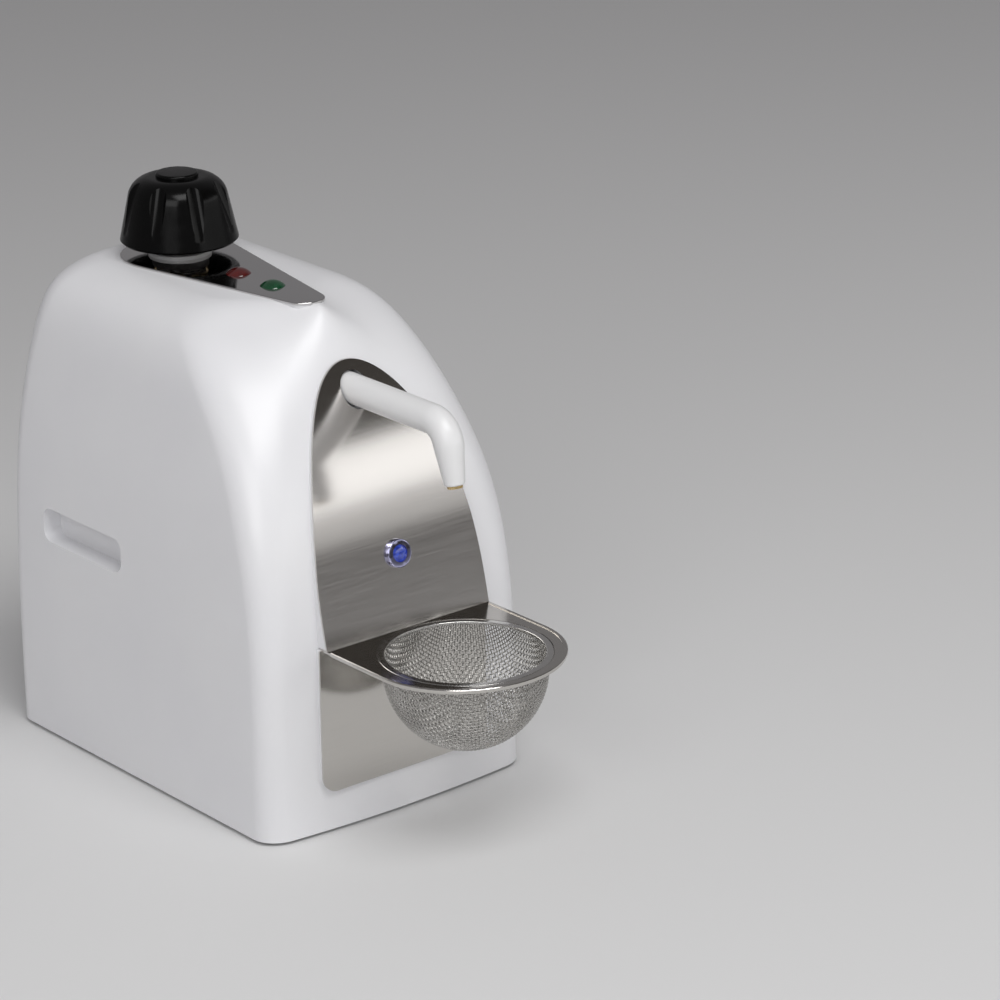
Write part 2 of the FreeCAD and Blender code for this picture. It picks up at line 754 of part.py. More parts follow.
def shelf_bracket():
    """One bent sheet: the lower panel, the shelf with a rolled edge, and a ledge for the basket."""
    ledge_z = shelf_z - basket_rim_thickness
    wall = lower_outline(0, (front_y - sheet_thickness, front_y))
    shelf = shelf_outline(0, (shelf_z - sheet_thickness, shelf_z), front_y)
    bead_back = front_y - shelf_bead_back
    bead_z = (shelf_z + shelf_bead_proud - shelf_bead_height, shelf_z + shelf_bead_proud)
    bead = shelf_outline(0, bead_z, bead_back)
    rims = [e for e in bead.Edges if abs(e.tangentAt(e.FirstParameter).z) < 1 - parallel_share
            and e.BoundBox.Center.y < bead_back - running_gap]
    bead = bead.makeFillet(shelf_bead_height / 3, rims)
    inner_z = (bead_z[0] - cut_overrun, bead_z[1] + cut_overrun)
    bead = bead.cut(shelf_outline(shelf_bead_width, inner_z, rear_y))
    ledge = post(basket_rim_radius + sheet_thickness, 0, basket_y, (ledge_z - sheet_thickness, shelf_z))
    body = wall.fuse([shelf, bead, ledge])
    hole = post(basket_rim_radius + basket_gap, 0, basket_y, (ledge_z, shelf_z + cut_overrun))
    bowl_hole = post(basket_rim_radius - basket_ledge_width, 0, basket_y,
                     (shelf_z - cut_overrun, shelf_z + cut_overrun))
    return body.cut([hole, bowl_hole]).removeSplitter()


def basket_rim():
    """Flat ring that hangs the basket in the shelf."""
    z = (shelf_z - basket_rim_thickness, shelf_z)
    body = ring(basket_rim_radius, basket_rim_radius - basket_ledge_width - 2 * basket_wall, 0, basket_y, z)
    return body.makeFillet(basket_rim_thickness / 3, edges_where(body, lambda p: p.z > shelf_z - running_gap))


def basket_bowl():
    """Wire-mesh bowl as a thin shell: a short straight top over half a ball."""
    outer = basket_rim_radius - basket_ledge_width - 2 * basket_gap
    inner = outer - basket_wall
    top = shelf_z - basket_rim_thickness
    bend = top - basket_straight
    slant = math.sqrt(0.5)
    edges = [
        Part.makeLine(Vector(outer, 0, top), Vector(outer, 0, bend)),
        Part.Arc(Vector(outer, 0, bend), Vector(outer * slant, 0, bend - outer * slant),
                 Vector(0, 0, bend - outer)).toShape(),
        Part.makeLine(Vector(0, 0, bend - outer), Vector(0, 0, bend - inner)),
        Part.Arc(Vector(0, 0, bend - inner), Vector(inner * slant, 0, bend - inner * slant),
                 Vector(inner, 0, bend)).toShape(),
        Part.makeLine(Vector(inner, 0, bend), Vector(inner, 0, top)),
        Part.makeLine(Vector(inner, 0, top), Vector(outer, 0, top)),
    ]
    bowl = Part.Face(Part.Wire(edges)).revolve(Vector(), z_axis, 360)
    return bowl.translated(Vector(0, basket_y, 0))


def led_point(depth):
    """Place on the blue lamp's axis at a depth behind the panel's face."""
    return led_seat + panel_inward * depth


def led_bezel():
    """Chromed lamp holder, flanged on the panel and threaded behind it."""
    flange = rod(led_bezel_radius, led_point(-led_bezel_proud), led_point(0))
    rim = [e for e in flange.Edges if (e.BoundBox.Center - led_point(-led_bezel_proud)).Length < running_gap]
    flange = flange.makeFillet(led_bezel_proud / 3, rim)
    body = flange.fuse(rod(led_body_radius, led_point(0), led_point(led_length)))
    return body.cut(rod(led_window_radius + running_gap, led_point(-led_bezel_proud - cut_overrun),
                        led_point(led_length + cut_overrun)))


def blue_lens():
    """Faceted blue lens pressed into the bezel."""
    body = rod(led_window_radius, led_point(-led_bezel_proud + led_dome), led_point(led_length / 2))
    crown = Part.makeCone(led_window_radius, led_window_radius / 2, led_dome,
                          led_point(-led_bezel_proud + led_dome), -panel_inward)
    return body.fuse(crown)


def hexagon(across_flats, start, end):
    """Six-sided prism between two points."""
    reach = across_flats / math.sqrt(3)
    corners = [Rotation(z_axis, 60 * step).multVec(Vector(reach, 0, 0)) for step in range(6)]
    prism = Part.Face(Part.makePolygon(corners + corners[:1])).extrude(Vector(0, 0, (end - start).Length))
    prism.Placement = Placement(start, Rotation(z_axis, end - start))
    return prism


def led_nut():
    """Hexagonal nut that holds the lamp from inside, on the back of the moulded seat."""
    near = led_length - led_nut_thickness
    nut = hexagon(2 * led_nut_radius, led_point(near), led_point(led_length))
    return nut.cut(rod(led_body_radius + running_gap, led_point(0), led_point(led_length + cut_overrun)))


# Top plate, lenses and their board
lens_tail = 6.0
lens_bore = 3.4
led_radius = 2.5


def top_plate():
    """Polished teardrop sheet on the roof, holed for the two lenses and the neck."""
    plate = teardrop(0, (roof_z, plate_top_z))
    rim = edges_where(plate, lambda p: p.z > plate_top_z - running_gap)
    plate = plate.makeFillet(plate_edge_radius, rim)
    holes = [post(lens_body_radius + running_gap, 0, y, (roof_z - cut_overrun, plate_top_z + cut_overrun))
             for y in lens_places]
    holes.append(post(neck_radius + slip_gap, 0, cap_y, (roof_z - cut_overrun, plate_top_z + cut_overrun)))
    return plate.cut(holes)


def lens(y):
    """Domed indicator lens, hollow for its lamp."""
    ball = (lens_radius ** 2 + lens_dome ** 2) / (2 * lens_dome)
    dome = Part.makeSphere(ball, Vector(0, y, plate_top_z + lens_dome - ball))
    dome = dome.common(post(lens_radius, 0, y, (plate_top_z, plate_top_z + 2 * lens_dome)))
    body = dome.fuse(post(lens_body_radius, 0, y, (roof_z - lens_tail, plate_top_z)))
    return body.cut(post(lens_bore, 0, y, (roof_z - lens_tail - cut_overrun, plate_top_z)))


def indicator_leds():
    """Two lamps standing on the board inside the lenses."""
    lamps = []
    for y in lens_places:
        stem = post(led_radius, 0, y, (board_top_z, plate_top_z - lens_bore))
        lamps.append(stem.fuse(Part.makeSphere(led_radius, Vector(0, y, plate_top_z - lens_bore))))
    return lamps


def indicator_board():
    """Small board under both lamps, screwed to its post."""
    y = (lens_places[0] - lens_radius, lens_places[1] + lens_radius)
    return box(around(0, indicator_board_width), y, (board_top_z - board_thickness, board_top_z))


# Filler neck, its ring and seal
neck_rise = 9.0
skirt_rise = 7.0
neck_collar_radius = 16.0
neck_collar = 3.0
neck_ring_radius = 16.4
neck_ring_height = 2.0
neck_seal_radius = 14.8
neck_top_z = plate_top_z + neck_rise
skirt_z = plate_top_z + skirt_rise
tank_top_z = roof_z - boiler_drop
tank_bottom_z = edge_z + boiler_bottom
tank_wall = 1.5
tank_edge = 8.0
steam_port_radius = 2.0
steam_port_back = 24.0
steam_port_y = cap_y - steam_port_back


def filler_neck():
    """Stainless tube welded to the boiler's top, with a collar at its foot."""
    body = post(neck_radius, 0, cap_y, (tank_top_z, neck_top_z))
    body = body.fuse(post(neck_collar_radius, 0, cap_y, (tank_top_z, tank_top_z + neck_collar)))
    return body.cut(post(neck_bore, 0, cap_y, (tank_top_z - cut_overrun, neck_top_z + cut_overrun)))


def neck_ring():
    """Light ring round the neck, lying on the top plate."""
    top = plate_top_z + neck_ring_height
    body = ring(neck_ring_radius, neck_radius + running_gap, 0, cap_y, (plate_top_z, top))
    outer = [e for e in body.Edges if e.BoundBox.XLength > 2 * neck_ring_radius - running_gap
             and e.BoundBox.Center.z > top - running_gap]
    return body.makeFillet(neck_ring_height / 3, outer)


def neck_seal():
    """Dark rubber seal on the ring, just under the cap's skirt."""
    z = (plate_top_z + neck_ring_height, skirt_z - slip_gap)
    return ring(neck_seal_radius, neck_radius + running_gap, 0, cap_y, z)


# Boiler
insulation_thickness = 3.5
insulation_margin = 10.0
stand_radius = 30.0
stand_wall = 1.5
stand_flange_radius = 38.0
stand_window_width = 24.0
stand_window_height = 16.0
stand_screw_radius = 34.0
heater_radius = 26.0
heater_height = 9.0
terminal_radius = 2.0
terminal_length = 7.0
terminal_pitch = 24.0
stat_radius = 6.5
stat_height = 8.0
stat_out = 23.5
stat_foot_height = 2.0
cutout_height = 5.0


def boiler_tank():
    """Welded stainless tank with round edges, open under the neck and at the steam port."""
    outer = post(boiler_radius, 0, cap_y, (tank_bottom_z, tank_top_z))
    outer = outer.makeFillet(tank_edge, [e for e in outer.Edges if e.isClosed()])
    inner = post(boiler_radius - tank_wall, 0, cap_y, (tank_bottom_z + tank_wall, tank_top_z - tank_wall))
    inner = inner.makeFillet(tank_edge - tank_wall, [e for e in inner.Edges if e.isClosed()])
    ports = [post(neck_bore, 0, cap_y, (tank_top_z - tank_edge, tank_top_z + cut_overrun)),
             post(steam_port_radius, 0, steam_port_y, (tank_top_z - tank_edge, tank_top_z + cut_overrun))]
    return outer.cut([inner] + ports)


def boiler_heater():
    """Heating plate under the tank with its two terminals."""
    plate = post(heater_radius, 0, cap_y, (tank_bottom_z - heater_height, tank_bottom_z))
    low = tank_bottom_z - heater_height
    pins = [post(terminal_radius, x, cap_y, (low - terminal_length, low)) for x in around(0, terminal_pitch)]
    return plate.fuse(pins)


def stand_screw_places():
    """Four screws through the stand's flange."""
    reach = stand_screw_radius * math.sqrt(0.5)
    return [(sx * reach, cap_y + sy * reach) for sx in (-1, 1) for sy in (-1, 1)]


def boiler_stand():
    """Flanged skirt that carries the tank on the base plate, windowed for cooling."""
    skirt = ring(stand_radius, stand_radius - stand_wall, 0, cap_y, (base_top_z, tank_bottom_z))
    flange_z = (base_top_z, base_top_z + stand_wall)
    flange = ring(stand_flange_radius, stand_radius - stand_wall, 0, cap_y, flange_z)
    window_z = around((base_top_z + tank_bottom_z) / 2, stand_window_height)
    cuts = [box(around(0, stand_window_width), around(cap_y, 3 * stand_radius), window_z),
            box(around(0, 3 * stand_radius), around(cap_y, stand_window_width), window_z)]
    cuts += [screw_hole(Vector(x, y, base_top_z), z_axis, stand_wall, running_gap)
             for x, y in stand_screw_places()]
    return skirt.fuse(flange).cut(cuts)


def boiler_insulation():
    """Felt sleeve round the tank."""
    z = (tank_bottom_z + insulation_margin, tank_top_z - insulation_margin)
    return ring(boiler_radius + insulation_thickness, boiler_radius + running_gap, 0, cap_y, z)


def thermostat():
    """Adjustable thermostat clipped to the tank's top."""
    foot = post(stat_radius, stat_out, cap_y, (tank_top_z, tank_top_z + stat_foot_height))
    head = post(stat_radius - stat_foot_height, stat_out, cap_y, (tank_top_z, tank_top_z + stat_height))
    return foot.fuse(head)


def thermal_cutout():
    """Safety cutout on the tank's top."""
    foot = post(stat_radius, -stat_out, cap_y, (tank_top_z, tank_top_z + stat_foot_height / 2))
    head = post(stat_radius - stat_foot_height, -stat_out, cap_y, (tank_top_z, tank_top_z + cutout_height))
    return foot.fuse(head)


# Chassis, valve and pipes
chassis_half = 45.0
chassis_drop = 26.8
chassis_flange = 14.0
chassis_corner = 8.0
switch_length = 28.0
switch_body = 16.0
switch_in = 12.5
switch_nose = 2.5
switch_nose_radius = 1.6
switch_ear = 2.0
plunger_gap = 1.3
button_stem_radius = 3.0
spout_thread_radius = 5.0
spout_thread = 6.5
nut_across = 14.0
nut_thickness = 5.0
valve_gap = 7.0
valve_width = 24.0
valve_height = 20.0
coil_width = 30.0
coil_height = 35.0
valve_tube_radius = 5.0
valve_tube_length = 33.0
plunger_radius = 3.0
plunger_length = 22.0
valve_spring_radius = 2.8
valve_spring_wire = 0.8
bracket_thickness = 1.5
bracket_drop = 18.0
pipe_radius = 3.0
pipe_bore = 2.0
pipe_bend = 8.0
pipe_nut_radius = 6.0
pipe_nut = 3.0
valve_y = chassis_back_y + valve_gap
valve_mid_y = valve_y + valve_width / 2
valve_bottom_z = spout_z - valve_height / 2
coil_bottom_z = valve_bottom_z - coil_height
switch_reach = half_width - switch_in
switch_x = switch_reach - switch_nose


def chassis_screw_places():
    """Two screws through the chassis flange."""
    return [(sx * chassis_half / 2, chassis_back_y + chassis_flange / 2) for sx in (-1, 1)]


def chassis_plate():
    """Upright bent sheet that carries the valve, the board and the switch."""
    top = roof_z - chassis_drop
    sheet = box((-chassis_half, chassis_half), (chassis_y, chassis_back_y), (base_top_z, top))
    corners = [e for e in sheet.Edges if abs(e.tangentAt(e.FirstParameter).y) > parallel_share
               and e.BoundBox.Center.z > top - running_gap]
    sheet = sheet.makeFillet(chassis_corner, corners)
    ear = box((chassis_half - chassis_corner, switch_x - switch_ear), (chassis_y, chassis_back_y),
              around(button_z, switch_length))
    foot = box((-chassis_half, chassis_half), (chassis_back_y, chassis_back_y + chassis_flange),
               (base_top_z, base_top_z + chassis_thickness))
    cuts = [along_y(spout_thread_radius + running_gap, 0,
                    (chassis_y - cut_overrun, chassis_back_y + cut_overrun), spout_z)]
    cuts += [screw_hole(Vector(x, y, base_top_z), z_axis, chassis_thickness, running_gap)
             for x, y in chassis_screw_places()]
    return sheet.fuse([ear, foot]).cut(cuts).removeSplitter()


def base_screws():
    """Screws up through the base plate: corner posts, chassis and boiler stand."""
    long_ones = [screw(Vector(x, y, base_bottom_z), z_axis, base_thickness + base_screw_length - slip_gap)
                 for x, y in base_post_places()]
    short = 2 * base_thickness
    return long_ones + [screw(Vector(x, y, base_bottom_z), z_axis, short)
                        for x, y in chassis_screw_places() + stand_screw_places()]


def cover_screws():
    """Four screws through the rear cover."""
    return [screw(Vector(x, cover_face_y, z), -y_axis, cover_thickness + frame_thickness)
            for x, z in cover_screw_places()]


def inlet_screws():
    """Two screws through the inlet's flange into the cover."""
    return [screw(Vector(x, cover_face_y + inlet_flange, inlet_z), -y_axis, inlet_flange - running_gap)
            for x in around(inlet_x, inlet_screw_pitch)]


# Spout, its steam tube and its jet
spout_lean = 11.8
spout_bend = 13.0
spout_leg = 30.2
spout_tip_radius = 5.2
nozzle_radius = 3.9
nozzle_length = 8.0
nozzle_proud = 1.5
nozzle_bore = 1.2


def bent_bar(radius, tip_radius, start_y):
    """Spout's form: a level bar, a quarter bend and a leg that tapers to its tip."""
    lean = math.radians(spout_lean)
    corner = Vector(0, front_y - spout_reach, spout_z)
    down = Vector(0, -math.sin(lean), -math.cos(lean))
    turn = math.pi / 2 - lean
    tangent = spout_bend * math.tan(turn / 2)
    bend_start = corner + y_axis * tangent
    bend_end = corner + down * tangent
    tip = corner + down * spout_leg
    bar = rod(radius, Vector(0, start_y, spout_z), bend_start)
    disc = Part.Face(Part.Wire(Part.makeCircle(radius, bend_start, y_axis)))
    elbow = disc.revolve(bend_start - z_axis * spout_bend, x_axis, math.degrees(turn))
    leg = Part.makeCylinder(radius, (tip - bend_end).Length, bend_end, down)
    if tip_radius != radius:
        leg = Part.makeCone(radius, tip_radius, (tip - bend_end).Length, bend_end, down)
    return bar.fuse([elbow, leg]), tip, down


def spout_sleeve():
    """Moulded spout over the steam tube, threaded where it passes through the chassis."""
    body, tip, down = bent_bar(spout_radius, spout_tip_radius, chassis_y)
    body = body.fuse(along_y(spout_thread_radius, 0, (chassis_y, chassis_back_y + spout_thread), spout_z))
    bore, tip, down = bent_bar(steam_tube_radius + running_gap, steam_tube_radius + running_gap,
                               chassis_back_y + spout_thread)
    seat = tip - down * (nozzle_length - nozzle_proud)
    pocket = rod(nozzle_radius + running_gap, seat, tip + down * cut_overrun)
    return body.cut(bore).cut(pocket)


def steam_tube():
    """Steel tube from the valve through the spout to the nozzle."""
    body, tip, down = bent_bar(steam_tube_radius, steam_tube_radius, valve_y)
    bore, tip, down = bent_bar(pipe_bore, pipe_bore, valve_y)
    end = rod(2 * nozzle_radius, tip - down * (nozzle_length - nozzle_proud), tip + down * cut_overrun)
    return body.cut([bore, end])


def nozzle():
    """Brass jet in the spout's tip."""
    body, tip, down = bent_bar(steam_tube_radius, steam_tube_radius, valve_y)
    start = tip - down * (nozzle_length - nozzle_proud)
    end = tip + down * nozzle_proud
    jet = rod(nozzle_radius, start, end)
    return jet.cut(rod(nozzle_bore, start, end))


def spout_nut():
    """Nut that clamps the spout to the chassis."""
    start = Vector(0, chassis_back_y, spout_z)
    nut = hexagon(nut_across, start, start + y_axis * nut_thickness)
    return nut.cut(rod(spout_thread_radius + running_gap, start, start + y_axis * nut_thickness))


def valve_block():
    """Brass valve body with its seat orifice and the plunger's guide tube."""
    block = box(around(0, valve_width), (valve_y, valve_y + valve_width), around(spout_z, valve_height))
    z = (valve_bottom_z - valve_tube_length, valve_bottom_z)
    block = block.fuse(post(valve_tube_radius, 0, valve_mid_y, z))
    room = post(plunger_radius + running_gap, 0, valve_mid_y, (z[0] + bracket_thickness, valve_bottom_z))
    orifice = post(pipe_bore / 2, 0, valve_mid_y, (valve_bottom_z, spout_z))
    passage = along_y(pipe_bore, 0, (valve_y - cut_overrun, valve_mid_y), spout_z)
    outlet = along_y(pipe_bore / 2, 0, (valve_mid_y, valve_y + valve_width + cut_overrun), spout_z)
    return block.cut([room, orifice, passage, outlet])


def valve_coil():
    """Solenoid coil round the guide tube."""
    coil = rounded_box(around(0, coil_width), around(valve_mid_y, coil_width),
                       (coil_bottom_z, valve_bottom_z), valve_tube_radius, z_axis)
    return coil.cut(post(valve_tube_radius + running_gap, 0, valve_mid_y,
                         (coil_bottom_z - cut_overrun, valve_bottom_z + cut_overrun)))


def valve_plunger():
    """Steel plunger, pushed up against the seat."""
    return post(plunger_radius, 0, valve_mid_y,
                (valve_bottom_z - plunger_length, valve_bottom_z - running_gap))


def valve_spring():
    """Spring under the plunger, as its outer sleeve."""
    z = (valve_bottom_z - valve_tube_length + bracket_thickness + running_gap,
         valve_bottom_z - plunger_length - running_gap)
    return ring(valve_spring_radius, valve_spring_radius - valve_spring_wire, 0, valve_mid_y, z)


def valve_bracket():
    """Angle that carries the coil and the valve on the chassis."""
    x = around(0, coil_width)
    leg = box(x, (chassis_back_y, chassis_back_y + bracket_thickness),
              (coil_bottom_z - bracket_drop, coil_bottom_z))
    shelf = box(x, (chassis_back_y, valve_mid_y + coil_width / 2),
                (coil_bottom_z - bracket_thickness, coil_bottom_z))
    return leg.fuse(shelf).removeSplitter()


def boiler_pipe():
    """Steam pipe from the tank's top, bent forward into the valve, with a nut at its foot."""
    start = valve_y + valve_width
    bend = Vector(0, steam_port_y - pipe_bend, spout_z)

    def bar(radius):
        level = along_y(radius, 0, (start, bend.y), spout_z)
        disc = Part.Face(Part.Wire(Part.makeCircle(radius, bend, y_axis)))
        elbow = disc.revolve(bend - z_axis * pipe_bend, x_axis, -90)
        return level.fuse([elbow, post(radius, 0, steam_port_y, (tank_top_z, spout_z - pipe_bend))])

    nut = post(pipe_nut_radius, 0, steam_port_y, (tank_top_z, tank_top_z + pipe_nut))
    return bar(pipe_radius).fuse(nut).cut(bar(pipe_bore))


# Electronics on the chassis
board_half = 38.0
board_from_edge = 30.0
board_height = 88.0
board_standoff = 6.0
standoff_radius = 3.0
standoff_in = 5.0
board_y = chassis_y - board_standoff
board_z = (edge_z + board_from_edge, edge_z + board_from_edge + board_height)


def board_standoffs():
    """Four pillars between the chassis and the control board."""
    return [along_y(standoff_radius, sx * (board_half - standoff_in), (board_y, chassis_y), z)
            for sx in (-1, 1) for z in (board_z[0] + standoff_in, board_z[1] - standoff_in)]


def control_board():
    """Control board in front of the chassis."""
    return box((-board_half, board_half), (board_y - board_thickness, board_y), board_z)


transformer_size = (32.0, 24.0, 28.0)
relay_size = (20.0, 15.0, 16.0)
capacitor_radius = 6.0
capacitor_length = 20.0


def board_parts():
    """Transformer, relay and capacitor on the board's front face."""
    face = board_y - board_thickness
    low, high = board_z
    width, depth, height = transformer_size
    low += 2 * standoff_in
    high -= 2 * standoff_in
    transformer = rounded_box(around(-board_half / 2, width), (face - depth, face), (low, low + height),
                              standoff_in / 2, y_axis)
    width, depth, height = relay_size
    relay = box(around(board_half / 2, width), (face - depth, face), (high - height, high))
    capacitor = along_y(capacitor_radius, board_half / 2, (face - capacitor_length, face),
                        low + capacitor_radius)
    return [transformer, relay, capacitor]


# Steam button
button_dish = 0.5
button_travel = 2.5
button_skirt = 5.5
floor_gap = 3.0
floor_x = button_face_x - button_skirt - floor_gap


def button_bezel():
    """Round bezel let into the boss, with a floor that guides the button's stem."""
    flange = along_x(bezel_radius, (boss_face_x, bezel_face_x), button_y, button_z)
    rim = [e for e in flange.Edges if e.BoundBox.Center.x > bezel_face_x - running_gap]
    flange = flange.makeFillet(bezel_flange / 2, rim)
    body = flange.fuse(along_x(bezel_body_radius, (floor_x - bezel_wall, boss_face_x), button_y, button_z))
    room = along_x(button_radius + slip_gap / 3, (floor_x, button_face_x + cut_overrun), button_y, button_z)
    guide = along_x(button_stem_radius + slip_gap / 3, (floor_x - cut_overrun, floor_x + cut_overrun),
                    button_y, button_z)
    return body.cut([room, guide])


def steam_button():
    """Round push button, dished for the finger, with a stem towards the switch."""
    cap = along_x(button_radius, (button_face_x - button_skirt, button_face_x), button_y, button_z)
    rim = [e for e in cap.Edges if e.BoundBox.Center.x > button_face_x - running_gap]
    cap = cap.makeFillet(button_dish, rim)
    ball = (button_radius ** 2 / button_dish + button_dish) / 2
    dish = Part.makeSphere(ball, Vector(button_face_x - button_dish + ball, button_y, button_z))
    stem = along_x(button_stem_radius, (switch_reach + plunger_gap, button_face_x - button_skirt),
                   button_y, button_z)
    return cap.cut(dish).fuse(stem)


def microswitch():
    """Switch body on the chassis ear, bored for its plunger."""
    body = box((switch_x - switch_body, switch_x), (chassis_back_y, chassis_back_y + switch_width),
               around(button_z, switch_length))
    return body.cut(along_x(switch_nose_radius + running_gap,
                            (switch_x - switch_body / 2, switch_x + cut_overrun), button_y, button_z))


def microswitch_plunger():
    """Little plunger of the switch."""
    reach = (switch_x - switch_body / 2 + plunger_gap + button_travel, switch_reach)
    return along_x(switch_nose_radius, reach, button_y, button_z)


# Pressure cap
cap_side_lean = 12.1
cap_edge = 1.2
cap_shoulder_radius = 12.0
cap_cover_radius = 11.0
cap_cover_proud = 2.1
cap_cover_seat = 29.3
cap_wall = 2.5
cap_flutes = 8
flute_radius = 5.5
flute_depth = 2.5
flute_foot = 8.0
flute_turn_share = 0.68
cap_room_radius = 26.5
cap_room_top_radius = 20.0
cap_roof_room_radius = 16.0
cap_web_height = 15.0
cap_web = 2.5
hub_radius = 9.0
hub_height = 21.0
boss_wall = 3.5
cap_hole_radius = 10.0
gasket_thickness = 1.5
insert_flange_radius = 14.0
insert_flange = 3.0
stem_length = 13.0
relief_hole = 2.5
relief_bore = 5.0
relief_seat = 6.0
relief_disc = 3.0
relief_stem_radius = 1.5
relief_spring_length = 11.0
relief_spring_wire = 1.2
relief_plug = 6.0
clip_radius = 11.0
clip_thickness = 1.0
clip_groove = 1.0
insert_base_z = neck_top_z + gasket_thickness
stem_z = neck_top_z - stem_length
seat_z = stem_z + relief_seat
hub_top_z = skirt_z + hub_height
web_top_z = skirt_z + cap_web_height + cap_web
plug_z = seat_z + relief_disc + relief_spring_length


def cap_knob():
    """Fluted black knob: a leaning side, a round shoulder, and a web with a hub for the insert."""
    lean = math.radians(cap_side_lean)
    knob_top_z = skirt_z + cap_height - cap_cover_proud
    foot = Vector(cap_radius, 0, skirt_z + cap_edge)
    outward = Vector(math.cos(lean), 0, math.sin(lean))
    centre_z = knob_top_z - cap_shoulder_radius
    reach = (cap_shoulder_radius + (centre_z - foot.z) * outward.z) / outward.x
    centre = Vector(cap_radius - reach, 0, centre_z)
    side_top = centre + outward * cap_shoulder_radius
    crown = centre + z_axis * cap_shoulder_radius
    halfway = Vector(outward + z_axis).normalize()
    edges = [
        Part.makeLine(Vector(0, 0, skirt_z), Vector(cap_radius - cap_edge, 0, skirt_z)),
        Part.makeLine(Vector(cap_radius - cap_edge, 0, skirt_z), foot),
        Part.makeLine(foot, side_top),
        Part.Arc(side_top, centre + halfway * cap_shoulder_radius, crown).toShape(),
        Part.makeLine(crown, Vector(0, 0, knob_top_z)),
        Part.makeLine(Vector(0, 0, knob_top_z), Vector(0, 0, skirt_z)),
    ]
    body = Part.Face(Part.Wire(edges)).revolve(Vector(), z_axis, 360).translated(Vector(0, cap_y, 0))

    # each flute is a round groove that starts above the skirt and is deepest at the shoulder
    narrowing = (flute_foot - cap_edge) * math.tan(lean)
    low = Vector(cap_radius - narrowing + flute_radius, 0, skirt_z + flute_foot)
    high = side_top + Vector(flute_radius - flute_depth, 0, 0)
    way = Vector(high - low).normalize()
    groove = rod(flute_radius, low - way * cut_overrun, high + way * 2 * cap_shoulder_radius)
    flutes = []
    for step in range(cap_flutes):
        flute = groove.copy()
        flute.rotate(Vector(), z_axis, 360 / cap_flutes * (step + flute_turn_share))
        flutes.append(flute.translated(Vector(0, cap_y, 0)))
    body = body.cut(flutes)

    web_z = skirt_z + cap_web_height
    ledge_z = skirt_z + cap_cover_seat
    web_radius = cap_room_radius - cap_web_height * math.tan(lean)
    skirt_room = turned([(0, skirt_z - cut_overrun), (cap_room_radius, skirt_z - cut_overrun),
                         (cap_room_radius, skirt_z), (web_radius, web_z), (0, web_z)], 0, cap_y)
    upper_room = turned([(0, web_top_z), (cap_room_top_radius, web_top_z), (cap_roof_room_radius, ledge_z),
                         (cap_hole_radius, ledge_z), (cap_hole_radius, knob_top_z + cut_overrun),
                         (0, knob_top_z + cut_overrun)], 0, cap_y)
    counterbore = post(cap_cover_radius + running_gap, 0, cap_y,
                       (ledge_z + cap_wall, knob_top_z + cut_overrun))
    body = body.cut([skirt_room, upper_room, counterbore])
    boss = post(hub_radius + boss_wall, 0, cap_y, (insert_base_z + insert_flange + slip_gap, web_top_z))
    shaft = post(hub_radius + running_gap, 0, cap_y, (skirt_z, web_top_z + cut_overrun))
    return body.fuse(boss).cut(shaft)


def cap_cover():
    """Slightly domed disc pressed into the knob's top."""
    seat = skirt_z + cap_cover_seat + cap_wall
    disc = post(cap_cover_radius, 0, cap_y, (seat, skirt_z + cap_height))
    rim = edges_where(disc, lambda p: p.z > skirt_z + cap_height - running_gap)
    disc = disc.makeFillet(cap_cover_proud / 2, rim)
    return disc.fuse(post(cap_hole_radius - running_gap, 0, cap_y, (skirt_z + cap_cover_seat, seat)))


def cap_insert():
    """Brass plug: a stem in the neck, a flange on the gasket and a hub that the knob turns on."""
    stem = neck_bore - running_gap
    groove = (web_top_z + running_gap, web_top_z + running_gap + clip_thickness + running_gap)
    body = turned([
        (0, stem_z), (stem, stem_z), (stem, insert_base_z), (insert_flange_radius, insert_base_z),
        (insert_flange_radius, insert_base_z + insert_flange), (hub_radius, insert_base_z + insert_flange),
        (hub_radius, groove[0]), (hub_radius - clip_groove, groove[0]), (hub_radius - clip_groove, groove[1]),
        (hub_radius, groove[1]), (hub_radius, hub_top_z), (0, hub_top_z)], 0, cap_y)
    return body.cut([post(relief_hole, 0, cap_y, (stem_z - cut_overrun, seat_z + running_gap)),
                     post(relief_bore, 0, cap_y, (seat_z, hub_top_z + cut_overrun))])


def cap_gasket():
    """Rubber washer under the insert's flange, on the neck's rim."""
    return ring(neck_radius, neck_bore + running_gap, 0, cap_y, (neck_top_z, insert_base_z))


def cap_clip():
    """Retaining ring in the hub's groove, over the knob's web."""
    z = (web_top_z + running_gap, web_top_z + running_gap + clip_thickness)
    return ring(clip_radius, hub_radius - clip_groove + running_gap, 0, cap_y, z)


def relief_poppet():
    """Safety valve's disc and stem."""
    disc = post(relief_bore - 2 * running_gap, 0, cap_y, (seat_z, seat_z + relief_disc))
    return disc.fuse(post(relief_stem_radius, 0, cap_y, (seat_z, plug_z + relief_plug / 2)))


def relief_spring():
    """Safety valve's spring, as its outer sleeve."""
    outer = relief_bore - 2 * slip_gap
    z = (seat_z + relief_disc + running_gap, plug_z - running_gap)
    return ring(outer, outer - relief_spring_wire, 0, cap_y, z)


def relief_plug_screw():
    """Screwed plug over the safety valve's spring, bored for the stem."""
    return ring(relief_bore - running_gap, relief_stem_radius + slip_gap / 2, 0, cap_y,
                (plug_z, plug_z + relief_plug))


